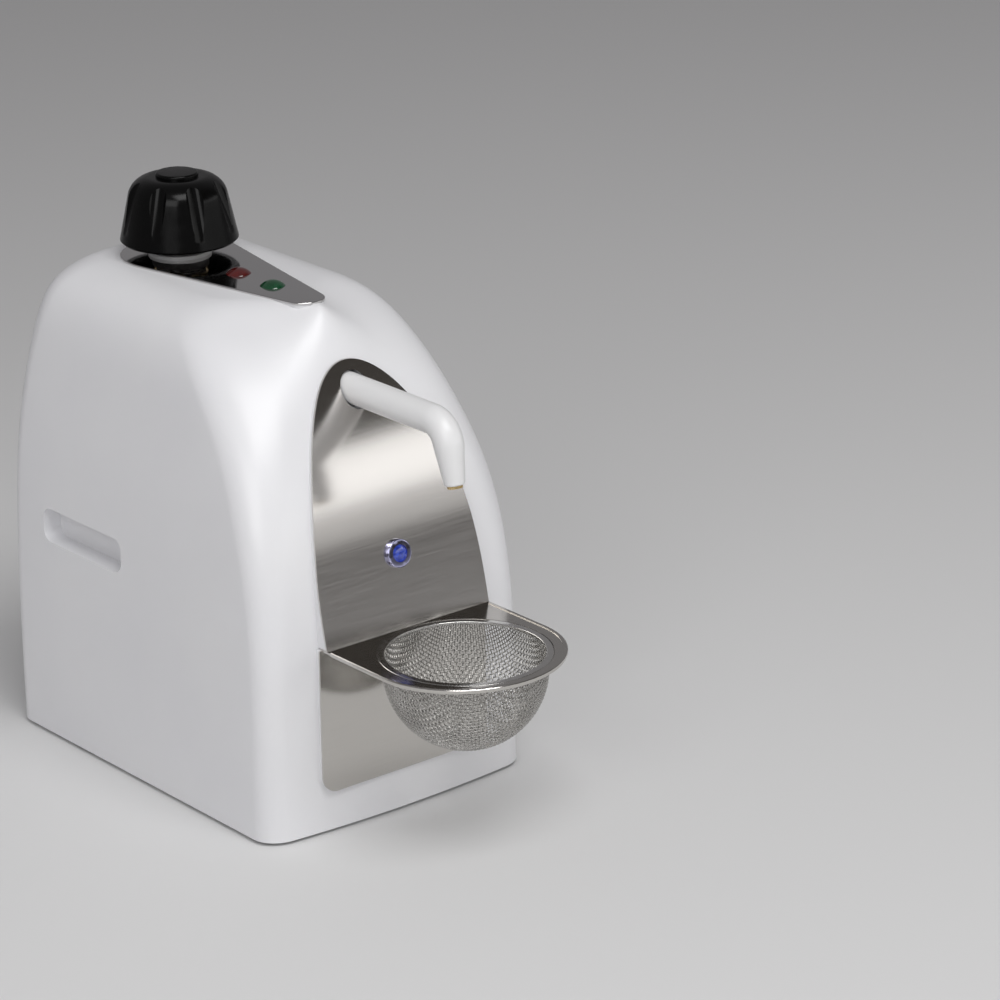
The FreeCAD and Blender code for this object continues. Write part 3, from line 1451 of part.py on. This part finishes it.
save("cabinet", cabinet())
save("rear_cover", rear_cover())
save("base_plate", base_plate())
save("rubber_feet", *rubber_feet())
save("base_screws", *base_screws())
save("cover_screws", *cover_screws())
save("upper_panel", upper_panel())
save("shelf_bracket", shelf_bracket())
save("basket_rim", basket_rim())
save("basket_bowl", basket_bowl())
save("led_bezel", led_bezel())
save("blue_lens", blue_lens())
save("led_nut", led_nut())
save("top_plate", top_plate())
save("green_lens", lens(lens_places[0]))
save("red_lens", lens(lens_places[1]))
save("indicator_leds", *indicator_leds())
save("indicator_board", indicator_board())
save("filler_neck", filler_neck())
save("neck_ring", neck_ring())
save("neck_seal", neck_seal())
save("boiler_tank", boiler_tank())
save("boiler_heater", boiler_heater())
save("boiler_stand", boiler_stand())
save("boiler_insulation", boiler_insulation())
save("thermostat", thermostat())
save("thermal_cutout", thermal_cutout())
save("chassis_plate", chassis_plate())
save("spout_sleeve", spout_sleeve())
save("steam_tube", steam_tube())
save("nozzle", nozzle())
save("spout_nut", spout_nut())
save("valve_block", valve_block())
save("valve_coil", valve_coil())
save("valve_plunger", valve_plunger())
save("valve_spring", valve_spring())
save("valve_bracket", valve_bracket())
save("boiler_pipe", boiler_pipe())
save("board_standoffs", *board_standoffs())
save("control_board", control_board())
save("board_parts", *board_parts())
save("button_bezel", button_bezel())
save("steam_button", steam_button())
save("microswitch", microswitch())
save("microswitch_plunger", microswitch_plunger())
save("rocker_frame", rocker_frame())
save("rocker_key", rocker_key())
save("mains_inlet", mains_inlet())
save("inlet_pins", *inlet_pins())
save("inlet_screws", *inlet_screws())
save("cap_knob", cap_knob())
save("cap_cover", cap_cover())
save("cap_insert", cap_insert())
save("cap_gasket", cap_gasket())
save("cap_clip", cap_clip())
save("relief_poppet", relief_poppet())
save("relief_spring", relief_spring())
save("relief_plug", relief_plug_screw())
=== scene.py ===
import json
import math

import bmesh
import bpy
from mathutils import Matrix, Vector

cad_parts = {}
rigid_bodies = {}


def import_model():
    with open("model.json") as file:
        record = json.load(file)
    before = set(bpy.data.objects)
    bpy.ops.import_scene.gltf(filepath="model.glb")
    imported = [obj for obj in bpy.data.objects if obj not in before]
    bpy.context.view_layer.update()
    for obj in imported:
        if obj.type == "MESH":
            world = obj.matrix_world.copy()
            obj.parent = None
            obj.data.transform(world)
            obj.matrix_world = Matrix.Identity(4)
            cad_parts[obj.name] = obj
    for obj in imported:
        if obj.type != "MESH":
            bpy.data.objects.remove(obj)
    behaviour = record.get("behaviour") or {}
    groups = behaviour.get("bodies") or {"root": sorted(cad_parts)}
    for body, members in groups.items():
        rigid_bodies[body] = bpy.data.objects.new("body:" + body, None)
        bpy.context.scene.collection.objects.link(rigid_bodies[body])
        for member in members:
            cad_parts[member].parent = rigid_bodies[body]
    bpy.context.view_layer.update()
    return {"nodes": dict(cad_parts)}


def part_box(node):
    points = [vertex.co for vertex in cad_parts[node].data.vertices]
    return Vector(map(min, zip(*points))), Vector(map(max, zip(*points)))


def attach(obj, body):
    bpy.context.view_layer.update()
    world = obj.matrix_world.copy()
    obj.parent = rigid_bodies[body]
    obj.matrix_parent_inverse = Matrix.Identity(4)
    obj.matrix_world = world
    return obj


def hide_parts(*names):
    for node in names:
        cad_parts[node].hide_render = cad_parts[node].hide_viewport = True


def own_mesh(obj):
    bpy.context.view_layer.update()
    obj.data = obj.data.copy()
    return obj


# The scene starts empty, and the frame brings in the sub-parts, each on its own body.
for leftover in list(bpy.data.objects):
    bpy.data.objects.remove(leftover)

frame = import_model()
nodes = frame["nodes"]


# Cabinet: one injection moulding in white ABS, open below and at the back. Its roof,
# shoulders and front are one smooth skin with a fine satin texture from the tool, and
# raised seats carry the stainless sheets.
def finish(name, colour, roughness, metallic=0.0):
    """New material with one Principled shader, plain until texture is added."""
    material = bpy.data.materials.new(name)
    material.use_nodes = True
    shader = material.node_tree.nodes["Principled BSDF"]
    shader.inputs["Base Color"].default_value = (*colour, 1)
    shader.inputs["Roughness"].default_value = roughness
    shader.inputs["Metallic"].default_value = metallic
    return material


def shader_of(material):
    """The material's Principled shader."""
    return material.node_tree.nodes["Principled BSDF"]


def add_node(owner, kind, **values):
    """Shader node of a material or world, with its settings and its sockets' plain values."""
    made = owner.node_tree.nodes.new(kind)
    for name, value in values.items():
        socket = name.replace("_", " ").title()
        if hasattr(made, name):
            setattr(made, name, value)
        else:
            made.inputs[socket].default_value = value
    return made


def join(owner, source, target):
    """Link between two sockets of a material or world."""
    owner.node_tree.links.new(source, target)


def object_place(material, stretch=(1, 1, 1)):
    """Object coordinates, stretched: the pattern's own place on the piece."""
    coordinates = add_node(material, "ShaderNodeTexCoord")
    mapping = add_node(material, "ShaderNodeMapping")
    mapping.inputs["Scale"].default_value = stretch
    join(material, coordinates.outputs["Object"], mapping.inputs["Vector"])
    return mapping.outputs["Vector"]


def noise(material, size, stretch=(1, 1, 1), detail=3.0):
    """Noise whose blotches are about one size across, in metres."""
    made = add_node(material, "ShaderNodeTexNoise", scale=1 / size, detail=detail)
    join(material, object_place(material, stretch), made.inputs["Vector"])
    return made.outputs["Fac"]


def spread(material, source, low, high, start=0.3, end=0.7):
    """Source's middle range spread between two values."""
    made = add_node(material, "ShaderNodeMapRange",
                    from_min=start, from_max=end, to_min=low, to_max=high)
    join(material, source, made.inputs["Value"])
    return made.outputs["Result"]


def vary_roughness(material, source, low, high):
    """Roughness between two values."""
    join(material, spread(material, source, low, high), shader_of(material).inputs["Roughness"])


# The mix node has sockets for every kind of value; these are its share and its colours.
mix_share = 0
mix_first_colour = 6
mix_second_colour = 7
mix_result_colour = 2


def vary_colour(material, source, dark, light, start=0.3, end=0.7):
    """Base colour between two tones."""
    made = add_node(material, "ShaderNodeMix", data_type="RGBA")
    made.inputs[mix_first_colour].default_value = (*dark, 1)
    made.inputs[mix_second_colour].default_value = (*light, 1)
    join(material, spread(material, source, 0, 1, start, end), made.inputs[mix_share])
    join(material, made.outputs[mix_result_colour], shader_of(material).inputs["Base Color"])


def emboss(material, source, height, strength=1.0):
    """Bump of one height, in metres."""
    made = add_node(material, "ShaderNodeBump", strength=strength, distance=height)
    join(material, source, made.inputs["Height"])
    join(material, made.outputs["Normal"], shader_of(material).inputs["Normal"])


weld_reach = 0.000005
crease = math.radians(28)


def cover(material, piece):
    """Puts a material on a piece, with its facets joined and shaded smooth up to a crease."""
    piece.data.materials.clear()
    piece.data.materials.append(material)
    piece.data.shade_smooth()
    weld = piece.modifiers.new("weld", "WELD")
    weld.merge_threshold = weld_reach
    split = piece.modifiers.new("creases", "EDGE_SPLIT")
    split.split_angle = crease


def dress(material, *names):
    """Puts a material on sub-parts that keep their own solids."""
    for name in names:
        cover(material, nodes[name])


white_abs = finish("white_abs", (0.80, 0.80, 0.82), 0.34)
shader_of(white_abs).inputs["Coat Weight"].default_value = 0.15
shader_of(white_abs).inputs["Coat Roughness"].default_value = 0.25
vary_roughness(white_abs, noise(white_abs, 0.030), 0.30, 0.38)
vary_colour(white_abs, noise(white_abs, 0.080), (0.785, 0.785, 0.808), (0.815, 0.815, 0.830))
emboss(white_abs, noise(white_abs, 0.0005), 0.00001, 0.5)
dress(white_abs, "cabinet")


# Rear cover, base plate, chassis, stand and bracket: zinc-plated steel sheet, punched
# and bent, held by pan-head screws. The plating shows faint spangle.
zinc = finish("zinc_sheet", (0.60, 0.61, 0.62), 0.42, metallic=1.0)
spangles_per_metre = 170.0
spangle = add_node(zinc, "ShaderNodeTexVoronoi", scale=spangles_per_metre)
join(zinc, object_place(zinc), spangle.inputs["Vector"])
vary_colour(zinc, spangle.outputs["Color"], (0.57, 0.58, 0.60), (0.66, 0.67, 0.68), 0.2, 0.8)
vary_roughness(zinc, noise(zinc, 0.006), 0.36, 0.50)
emboss(zinc, noise(zinc, 0.001), 0.00001, 0.4)
dress(zinc, "rear_cover", "base_plate", "chassis_plate", "boiler_stand", "valve_bracket")

plated_screw = finish("plated_screw", (0.70, 0.70, 0.69), 0.30, metallic=1.0)
vary_roughness(plated_screw, noise(plated_screw, 0.0015), 0.24, 0.40)
dress(plated_screw, "base_screws", "cover_screws", "inlet_screws", "inlet_pins")


# Feet: four black rubber discs under the base plate, moulded with a matt skin and with
# their edge broken where they meet the counter.
foot_rubber = finish("foot_rubber", (0.03, 0.03, 0.03), 0.75)
vary_colour(foot_rubber, noise(foot_rubber, 0.004), (0.022, 0.022, 0.023), (0.045, 0.044, 0.043))
emboss(foot_rubber, noise(foot_rubber, 0.0006), 0.00004, 0.6)
dress(foot_rubber, "rubber_feet")


# Upper panel: one stainless sheet with an arched top, curved back with the cabinet and
# finely brushed, so that it mirrors the room in soft level bands.
panel_steel = finish("panel_steel", (0.60, 0.58, 0.56), 0.17, metallic=1.0)
# Strokes run level: the noise keeps its length along X and is squeezed across it.
stroke_length = 0.03
brushing = (1, 90, 90)
strokes = noise(panel_steel, stroke_length, brushing, detail=4.0)
vary_roughness(panel_steel, strokes, 0.15, 0.20)
vary_colour(panel_steel, strokes, (0.585, 0.565, 0.545), (0.615, 0.595, 0.575))
emboss(panel_steel, strokes, 0.000002, 0.2)
dress(panel_steel, "upper_panel")


# Shelf bracket: the lower panel and the shelf are one bent sheet of the same steel,
# polished a little brighter than the upper panel.
shelf_steel = finish("shelf_steel", (0.60, 0.58, 0.55), 0.14, metallic=1.0)
strokes = noise(shelf_steel, stroke_length, brushing, detail=4.0)
vary_roughness(shelf_steel, strokes, 0.12, 0.17)
vary_colour(shelf_steel, strokes, (0.585, 0.565, 0.535), (0.615, 0.595, 0.565))
emboss(shelf_steel, noise(shelf_steel, 0.004), 0.000005, 0.3)
dress(shelf_steel, "shelf_bracket")


# Basket: a polished flat ring that hangs in the shelf, and a bowl pressed from
# plain-woven stainless cloth, whose wires spread from a square weave below to a fan at
# the rim. The cloth's edge ends under the ring.
rim_steel = finish("rim_steel", (0.68, 0.67, 0.65), 0.16, metallic=1.0)
vary_roughness(rim_steel, noise(rim_steel, 0.003), 0.12, 0.22)
dress(rim_steel, "basket_rim")

wire_steel = finish("wire_steel", (0.47, 0.46, 0.44), 0.24, metallic=1.0)
vary_roughness(wire_steel, noise(wire_steel, 0.002), 0.19, 0.29)
vary_colour(wire_steel, noise(wire_steel, 0.010), (0.42, 0.41, 0.39), (0.52, 0.51, 0.49))

bowl_low, bowl_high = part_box("basket_bowl")
cloth_pitch = 0.0020
cloth_turn = math.radians(-39)
wire_radius = 0.00031
weave_lift = 0.00030
outline_play = 0.00005
# A curve of the wires' order over points that go up and down reaches half as far as they.
curve_reach = 0.5
outer_radius = (bowl_high.x - bowl_low.x) / 2
bowl_radius = outer_radius - wire_radius - weave_lift - outline_play
bowl_middle = (bowl_low + bowl_high) / 2
bend_height = bowl_low.z + outer_radius
quarter = bowl_radius * math.pi / 2
cloth_reach = quarter + bowl_high.z - bend_height


def bowl_place(across, along, lift):
    """Place on the bowl of a point of the flat cloth, lifted from the cloth's middle."""
    reach = math.hypot(across, along)
    turn = min(reach, quarter) / bowl_radius
    out = (bowl_radius + lift) * math.sin(turn)
    height = bend_height - (bowl_radius + lift) * math.cos(turn) + max(0.0, reach - quarter)
    bearing = math.atan2(along, across) + cloth_turn
    x = bowl_middle.x + out * math.cos(bearing)
    y = bowl_middle.y + out * math.sin(bearing)
    return (x, y, height)


def woven_wires(name, crossways):
    """Every wire of the cloth that runs one way, over and under those that cross it."""
    curve = bpy.data.curves.new(name, "CURVE")
    curve.dimensions = "3D"
    curve.bevel_depth = wire_radius
    curve.bevel_resolution = 1
    curve.resolution_u = 2
    curve.use_fill_caps = True
    count = int(cloth_reach / cloth_pitch)
    for wire in range(-count, count + 1):
        offset = wire * cloth_pitch
        half = math.sqrt(cloth_reach ** 2 - offset ** 2)
        last = int(half / cloth_pitch)
        places = [(step * cloth_pitch, step) for step in range(-last, last + 1)]
        places = [(-half, -last - 1)] + places + [(half, last + 1)]
        line = curve.splines.new("NURBS")
        line.points.add(len(places) - 1)
        line.order_u = 3
        line.use_endpoint_u = True
        for point, (run, step) in zip(line.points, places):
            side = 1 if (wire + step + crossways) % 2 else -1
            flat = (run, offset) if crossways else (offset, run)
            point.co = (*bowl_place(*flat, side * weave_lift / curve_reach), 1)
    holder = bpy.data.objects.new(name, curve)
    bpy.context.scene.collection.objects.link(holder)
    mesh = bpy.data.meshes.new_from_object(holder)
    bpy.data.objects.remove(holder)
    piece = bpy.data.objects.new(name, mesh)
    bpy.context.scene.collection.objects.link(piece)
    mesh.materials.clear()
    mesh.materials.append(wire_steel)
    mesh.shade_smooth()
    return piece


for crossways, name in enumerate(("mesh_wires_lengthways", "mesh_wires_crossways")):
    wires = woven_wires(name, crossways)
    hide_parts("basket_bowl")
    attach(wires, "basket")


# Top plate: a teardrop of mirror-polished stainless sheet with a rounded edge. It lies on
# a flat seat of the roof, and the two lenses and the filler neck come up through it.
mirror_steel = finish("mirror_steel", (0.66, 0.65, 0.65), 0.07, metallic=1.0)
vary_roughness(mirror_steel, noise(mirror_steel, 0.012), 0.05, 0.11)
emboss(mirror_steel, noise(mirror_steel, 0.030), 0.00002, 0.2)
dress(mirror_steel, "top_plate")


# Indicator lenses: domed acrylic, dyed deep green and dark red. Each stands in a hole of
# the top plate, hollow below for its own lamp.
def dyed(name, colour):
    """Clear dyed plastic with a hard shine."""
    made = finish(name, colour, 0.08)
    shader_of(made).inputs["Coat Weight"].default_value = 0.8
    shader_of(made).inputs["Coat Roughness"].default_value = 0.04
    shader_of(made).inputs["IOR"].default_value = 1.49
    vary_roughness(made, noise(made, 0.004), 0.06, 0.12)
    return made


green_dye = dyed("green_dye", (0.002, 0.045, 0.014))
vary_colour(green_dye, noise(green_dye, 0.006), (0.001, 0.032, 0.010), (0.003, 0.058, 0.020))
dress(green_dye, "green_lens")
red_dye = dyed("red_dye", (0.06, 0.004, 0.004))
vary_colour(red_dye, noise(red_dye, 0.006), (0.045, 0.003, 0.003), (0.080, 0.006, 0.005))
dress(red_dye, "red_lens")


# Blue lamp: a chromed bezel that a nut holds in the upper panel, with a faceted blue lens
# pressed into it. It lights the jewelry in the basket.
# The bezel's base colour is tinted blue: a painted reflection of the blue lamp's light on the chrome.
chrome_painted_blue_reflection = finish("lamp_chrome_painted_blue_reflection", (0.50, 0.50, 0.72), 0.08, metallic=1.0)
vary_roughness(chrome_painted_blue_reflection, noise(chrome_painted_blue_reflection, 0.002), 0.05, 0.12)
dress(chrome_painted_blue_reflection, "led_bezel")
blue_dye = dyed("blue_dye", (0.02, 0.04, 0.30))
vary_colour(blue_dye, noise(blue_dye, 0.0018), (0.01, 0.02, 0.14), (0.05, 0.10, 0.55))
shader_of(blue_dye).inputs["Emission Color"].default_value = (0.06, 0.10, 0.9, 1)
shader_of(blue_dye).inputs["Emission Strength"].default_value = 0.12
dress(blue_dye, "blue_lens")


# Filler neck, ring and seal: a welded stainless tube, a light moulded ring on the top
# plate and a dark rubber seal between the ring and the cap. The boiler and its pipes are
# of the same steel.
tank_steel = finish("tank_steel", (0.66, 0.65, 0.63), 0.30, metallic=1.0)
vary_roughness(tank_steel, noise(tank_steel, 0.01, (1, 1, 12)), 0.22, 0.40)
vary_colour(tank_steel, noise(tank_steel, 0.03), (0.60, 0.59, 0.57), (0.72, 0.71, 0.69))
dress(tank_steel, "filler_neck", "boiler_tank", "steam_tube", "boiler_pipe")
dress(tank_steel, "valve_plunger", "relief_poppet")
ring_grey = finish("ring_grey", (0.50, 0.50, 0.50), 0.36)
vary_roughness(ring_grey, noise(ring_grey, 0.004), 0.30, 0.44)
vary_colour(ring_grey, noise(ring_grey, 0.010), (0.46, 0.46, 0.46), (0.54, 0.54, 0.54))
dress(ring_grey, "neck_ring")
seal_rubber = finish("seal_rubber", (0.022, 0.020, 0.019), 0.5)
vary_roughness(seal_rubber, noise(seal_rubber, 0.002), 0.42, 0.62)
dress(seal_rubber, "neck_seal", "cap_gasket")


# Pressure cap's knob and cover: black gloss phenolic. The knob is moulded with flutes for
# the hand, and the low round cover closes its top.
cap_black = finish("cap_black", (0.002, 0.002, 0.002), 0.20)
shader_of(cap_black).inputs["Specular IOR Level"].default_value = 0.15
vary_roughness(cap_black, noise(cap_black, 0.008), 0.16, 0.26)
emboss(cap_black, noise(cap_black, 0.002), 0.00002, 0.3)
dress(cap_black, "cap_knob", "cap_cover")


# Spout: a white moulded sleeve over the steam tube. It runs out level from the chassis,
# bends down in an even curve and tapers to its tip, where a pocket holds the brass jet.
spout_radius = 0.0076
tip_radius = 0.0052
tip_edge = 0.0005
thread_radius = 0.0050
thread_length = 0.0080
tube_bore = 0.00305
pocket_radius = 0.00395
pocket_depth = 0.0065
corner_y = -0.1042
bend_radius = 0.0130
leg_length = 0.0302
leg_lean = math.radians(11.8)
bend_steps = 16
leg_steps = 8
spout_sides = 48


def swept(name, stations, sides, closed):
    """Piece through circles, each with a centre, a way and a radius; closed joins last to first."""
    made = bmesh.new()
    circles = []
    for centre, way, radius in stations:
        across = way.cross(Vector((0, 0, 1))).normalized()
        over = across.cross(way).normalized()
        place = Matrix((-over, across, -way)).transposed().to_4x4()
        place.translation = centre
        first = len(made.edges)
        bmesh.ops.create_circle(made, radius=radius, segments=sides, matrix=place)
        made.edges.ensure_lookup_table()
        circles.append(made.edges[first:])
    following = circles[1:] + circles[:1] if closed else circles[1:]
    for circle, after in zip(circles, following):
        bmesh.ops.bridge_loops(made, edges=circle + after)
    if not closed:
        for end in (circles[0], circles[-1]):
            bmesh.ops.edgeloop_fill(made, edges=end)
    bmesh.ops.recalc_face_normals(made, faces=made.faces)
    mesh = bpy.data.meshes.new(name)
    made.to_mesh(mesh)
    made.free()
    piece = bpy.data.objects.new(name, mesh)
    bpy.context.scene.collection.objects.link(piece)
    return piece


sleeve_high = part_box("spout_sleeve")[1]
rear = Vector((0, sleeve_high.y, sleeve_high.z - spout_radius))
seat = rear - Vector((0, thread_length, 0))
forward = Vector((0, -1, 0))
down = Vector((0, -math.sin(leg_lean), -math.cos(leg_lean)))
corner = Vector((0, corner_y, rear.z))
bend = math.pi / 2 - leg_lean
tangent = bend_radius * math.tan(bend / 2)
bend_centre = corner - forward * tangent - Vector((0, 0, bend_radius))
tip = corner + down * leg_length
leg_end = tip - down * tip_edge
path = [(seat, forward, spout_radius)]
for step in range(bend_steps + 1):
    turn = bend * step / bend_steps
    out = Vector((0, -math.sin(turn), math.cos(turn)))
    way = Vector((0, -math.cos(turn), -math.sin(turn)))
    path.append((bend_centre + out * bend_radius, way, spout_radius))
bend_end = path[-1][0]
for step in range(1, leg_steps + 1):
    share = step / leg_steps
    radius = spout_radius + (tip_radius - spout_radius) * share
    path.append((bend_end.lerp(leg_end, share), down, radius))
outside = [(rear, forward, thread_radius), (seat, forward, thread_radius)] + path
outside.append((tip, down, tip_radius - tip_edge))
pocket_end = tip - down * pocket_depth
pocket = [(tip, down, pocket_radius), (pocket_end, down, pocket_radius), (pocket_end, down, tube_bore)]
inside = []
for centre, way, _ in reversed(path):
    if (tip - centre).dot(down) > pocket_depth:
        inside.append((centre, way, tube_bore))
inside.append((rear, forward, tube_bore))
sleeve = swept("spout", outside + pocket + inside, spout_sides, True)
spout_white = finish("spout_white", (0.79, 0.79, 0.79), 0.30)
vary_roughness(spout_white, noise(spout_white, 0.030), 0.29, 0.32)
vary_colour(spout_white, noise(spout_white, 0.06), (0.785, 0.785, 0.790), (0.80, 0.80, 0.80))
cover(spout_white, sleeve)
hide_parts("spout_sleeve")
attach(sleeve, "housing")


# Brass fittings, boards, switches and the rest of the inside, with the black mouldings
# that show outside: the button with its bezel, the rocker and the inlet.
brass = finish("brass", (0.70, 0.52, 0.24), 0.28, metallic=1.0)
vary_roughness(brass, noise(brass, 0.003), 0.22, 0.40)
vary_colour(brass, noise(brass, 0.008), (0.62, 0.45, 0.20), (0.76, 0.58, 0.30))
dress(brass, "nozzle", "spout_nut", "valve_block", "led_nut", "board_standoffs")
dress(brass, "cap_insert", "relief_plug")
moulded_black = finish("moulded_black", (0.025, 0.025, 0.027), 0.4)
vary_roughness(moulded_black, noise(moulded_black, 0.004), 0.34, 0.50)
emboss(moulded_black, noise(moulded_black, 0.0006), 0.00002, 0.5)
dress(moulded_black, "button_bezel", "steam_button", "rocker_frame", "rocker_key", "mains_inlet")
dress(moulded_black, "microswitch", "thermostat", "thermal_cutout", "valve_coil", "board_parts")
board_green = finish("board_green", (0.02, 0.12, 0.05), 0.35)
vary_colour(board_green, noise(board_green, 0.004), (0.015, 0.09, 0.04), (0.03, 0.15, 0.06))
dress(board_green, "control_board", "indicator_board")
lamp_clear = finish("lamp_clear", (0.75, 0.75, 0.72), 0.15)
vary_roughness(lamp_clear, noise(lamp_clear, 0.002), 0.10, 0.22)
dress(lamp_clear, "indicator_leds", "microswitch_plunger")
spring_steel = finish("spring_steel", (0.58, 0.58, 0.60), 0.25, metallic=1.0)
vary_roughness(spring_steel, noise(spring_steel, 0.002), 0.20, 0.34)
dress(spring_steel, "cap_clip")
cast_aluminium = finish("cast_aluminium", (0.62, 0.62, 0.63), 0.5, metallic=1.0)
vary_roughness(cast_aluminium, noise(cast_aluminium, 0.002), 0.44, 0.6)
dress(cast_aluminium, "boiler_heater")
felt = finish("felt", (0.74, 0.70, 0.60), 0.95)
vary_colour(felt, noise(felt, 0.002), (0.64, 0.60, 0.50), (0.80, 0.77, 0.68))
emboss(felt, noise(felt, 0.0015), 0.0004, 0.8)
dress(felt, "boiler_insulation")


# Springs: drawn wire, wound round the safety valve's stem and under the steam valve's
# plunger.
coil_steps = 24
wire_sides = 10
relief_wire = 0.00045
relief_turns = 8
valve_wire = 0.00030
valve_turns = 9


def coil(name, node, wire, turns):
    """Wire wound inside a sub-part's own box, with one flat turn at each end."""
    low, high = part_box(node)
    middle = (low + high) / 2
    radius = (high.x - low.x) / 2 - wire
    points = []
    for step in range(turns * coil_steps + 1):
        turn = step / coil_steps
        angle = 2 * math.pi * turn
        share = min(max((turn - 1) / (turns - 2), 0), 1)
        lift = low.z + wire + (high.z - low.z - 2 * wire) * share
        out = Vector((math.cos(angle), math.sin(angle), 0)) * radius
        points.append(Vector((middle.x, middle.y, lift)) + out)
    before = points[:1] + points[:-1]
    after = points[1:] + points[-1:]
    ways = [(end - start).normalized() for start, end in zip(before, after)]
    stations = [(point, way, wire) for point, way in zip(points, ways)]
    piece = swept(name, stations, wire_sides, False)
    cover(spring_steel, piece)
    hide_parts(node)
    return piece


relief_coil = coil("relief_coil", "relief_spring", relief_wire, relief_turns)
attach(relief_coil, "cap")
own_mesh(relief_coil)
valve_coil_wire = coil("valve_coil_wire", "valve_spring", valve_wire, valve_turns)
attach(valve_coil_wire, "housing")
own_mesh(valve_coil_wire)


# Stage: a pale floor in a grey room with one dark corner, which the panel's arch mirrors,
# and soft lamps: a big one above the front, one at the left, and two long low ones that
# draw the bright band across the panel and let it fade downwards.
floor_reach = 9.0
floor_mesh = bmesh.new()
bmesh.ops.create_grid(floor_mesh, x_segments=1, y_segments=1, size=floor_reach)
floor_data = bpy.data.meshes.new("floor")
floor_mesh.to_mesh(floor_data)
floor_mesh.free()
floor = bpy.data.objects.new("floor", floor_data)
bpy.context.scene.collection.objects.link(floor)
pale = finish("pale_floor", (0.74, 0.74, 0.74), 0.7)
floor_data.materials.append(pale)


def toward(azimuth, elevation):
    """Direction from the object; azimuth 0 stands in front, and 90 to its right."""
    turn = math.radians(azimuth)
    rise = math.radians(elevation)
    return Vector((math.sin(turn) * math.cos(rise), -math.cos(turn) * math.cos(rise), math.sin(rise)))


# The room's grey fades to the dark corner's tone as a direction turns towards it: the
# cosines of the angles at which the fade starts and ends.
corner_direction = toward(40, 26)
fade_start = 0.70
fade_end = 0.90
room_grey = (0.22, 0.215, 0.22, 1)
corner_dark = (0.05, 0.045, 0.04, 1)

room = bpy.data.worlds.new("room")
bpy.context.scene.world = room
room.use_nodes = True
sky = room.node_tree.nodes["Background"]
sky.inputs["Strength"].default_value = 1.0
direction = add_node(room, "ShaderNodeTexCoord")
nearness = add_node(room, "ShaderNodeVectorMath", operation="DOT_PRODUCT")
nearness.inputs[1].default_value = corner_direction
fade = add_node(room, "ShaderNodeValToRGB")
grey_end, dark_end = fade.color_ramp.elements
grey_end.position = fade_start
grey_end.color = room_grey
dark_end.position = fade_end
dark_end.color = corner_dark
join(room, direction.outputs["Generated"], nearness.inputs[0])
join(room, nearness.outputs["Value"], fade.inputs["Fac"])
join(room, fade.outputs["Color"], sky.inputs["Color"])


view_centre = Vector((0, 0, 0.15))


def softbox(name, azimuth, elevation, distance, width, height, power):
    """Area lamp that faces the object's middle."""
    lamp = bpy.data.lights.new(name, "AREA")
    lamp.shape = "RECTANGLE"
    lamp.size = width
    lamp.size_y = height
    lamp.energy = power
    holder = bpy.data.objects.new(name, lamp)
    bpy.context.scene.collection.objects.link(holder)
    away = toward(azimuth, elevation)
    holder.location = view_centre + away * distance
    holder.rotation_mode = "QUATERNION"
    holder.rotation_quaternion = away.to_track_quat("Z", "Y")


softbox("front_softbox", azimuth=-14, elevation=58, distance=2.2, width=1.4, height=1.0, power=27)
softbox("left_softbox", azimuth=-54, elevation=28, distance=2.4, width=1.2, height=1.2, power=14)
softbox("long_softbox", azimuth=38, elevation=16, distance=2.4, width=3.0, height=0.50, power=7.5)
softbox("low_softbox", azimuth=38, elevation=6, distance=2.4, width=3.0, height=0.30, power=1.8)


# Camera: at the photograph's angle, far off with a long lens, and set beside the object
# so that the object stands in the left of the picture as it does there.
view_azimuth = -39.5
view_elevation = 20.1
view_roll = math.radians(-0.8)
view_distance = 2.0
view_side = 0.0919
view_drop = 0.0031
lens_in_widths = 3.955
away = toward(view_azimuth, view_elevation)
level_right = (-away).cross(Vector((0, 0, 1))).normalized()
level_up = level_right.cross(-away)
camera_data = bpy.data.cameras.new("camera")
camera_data.sensor_width = 36.0
camera_data.lens = camera_data.sensor_width * lens_in_widths
camera_data.clip_start = 0.05
camera_data.clip_end = 50.0
camera = bpy.data.objects.new("camera", camera_data)
bpy.context.scene.collection.objects.link(camera)
roll = Matrix.Rotation(view_roll, 3, away)
right = roll @ level_right
up = roll @ level_up
camera.matrix_world = Matrix.Translation(
    view_centre + away * view_distance + level_right * view_side - level_up * view_drop
) @ Matrix((right, up, away)).transposed().to_4x4()
bpy.context.scene.camera = camera

bpy.context.scene.view_settings.view_transform = "Standard"
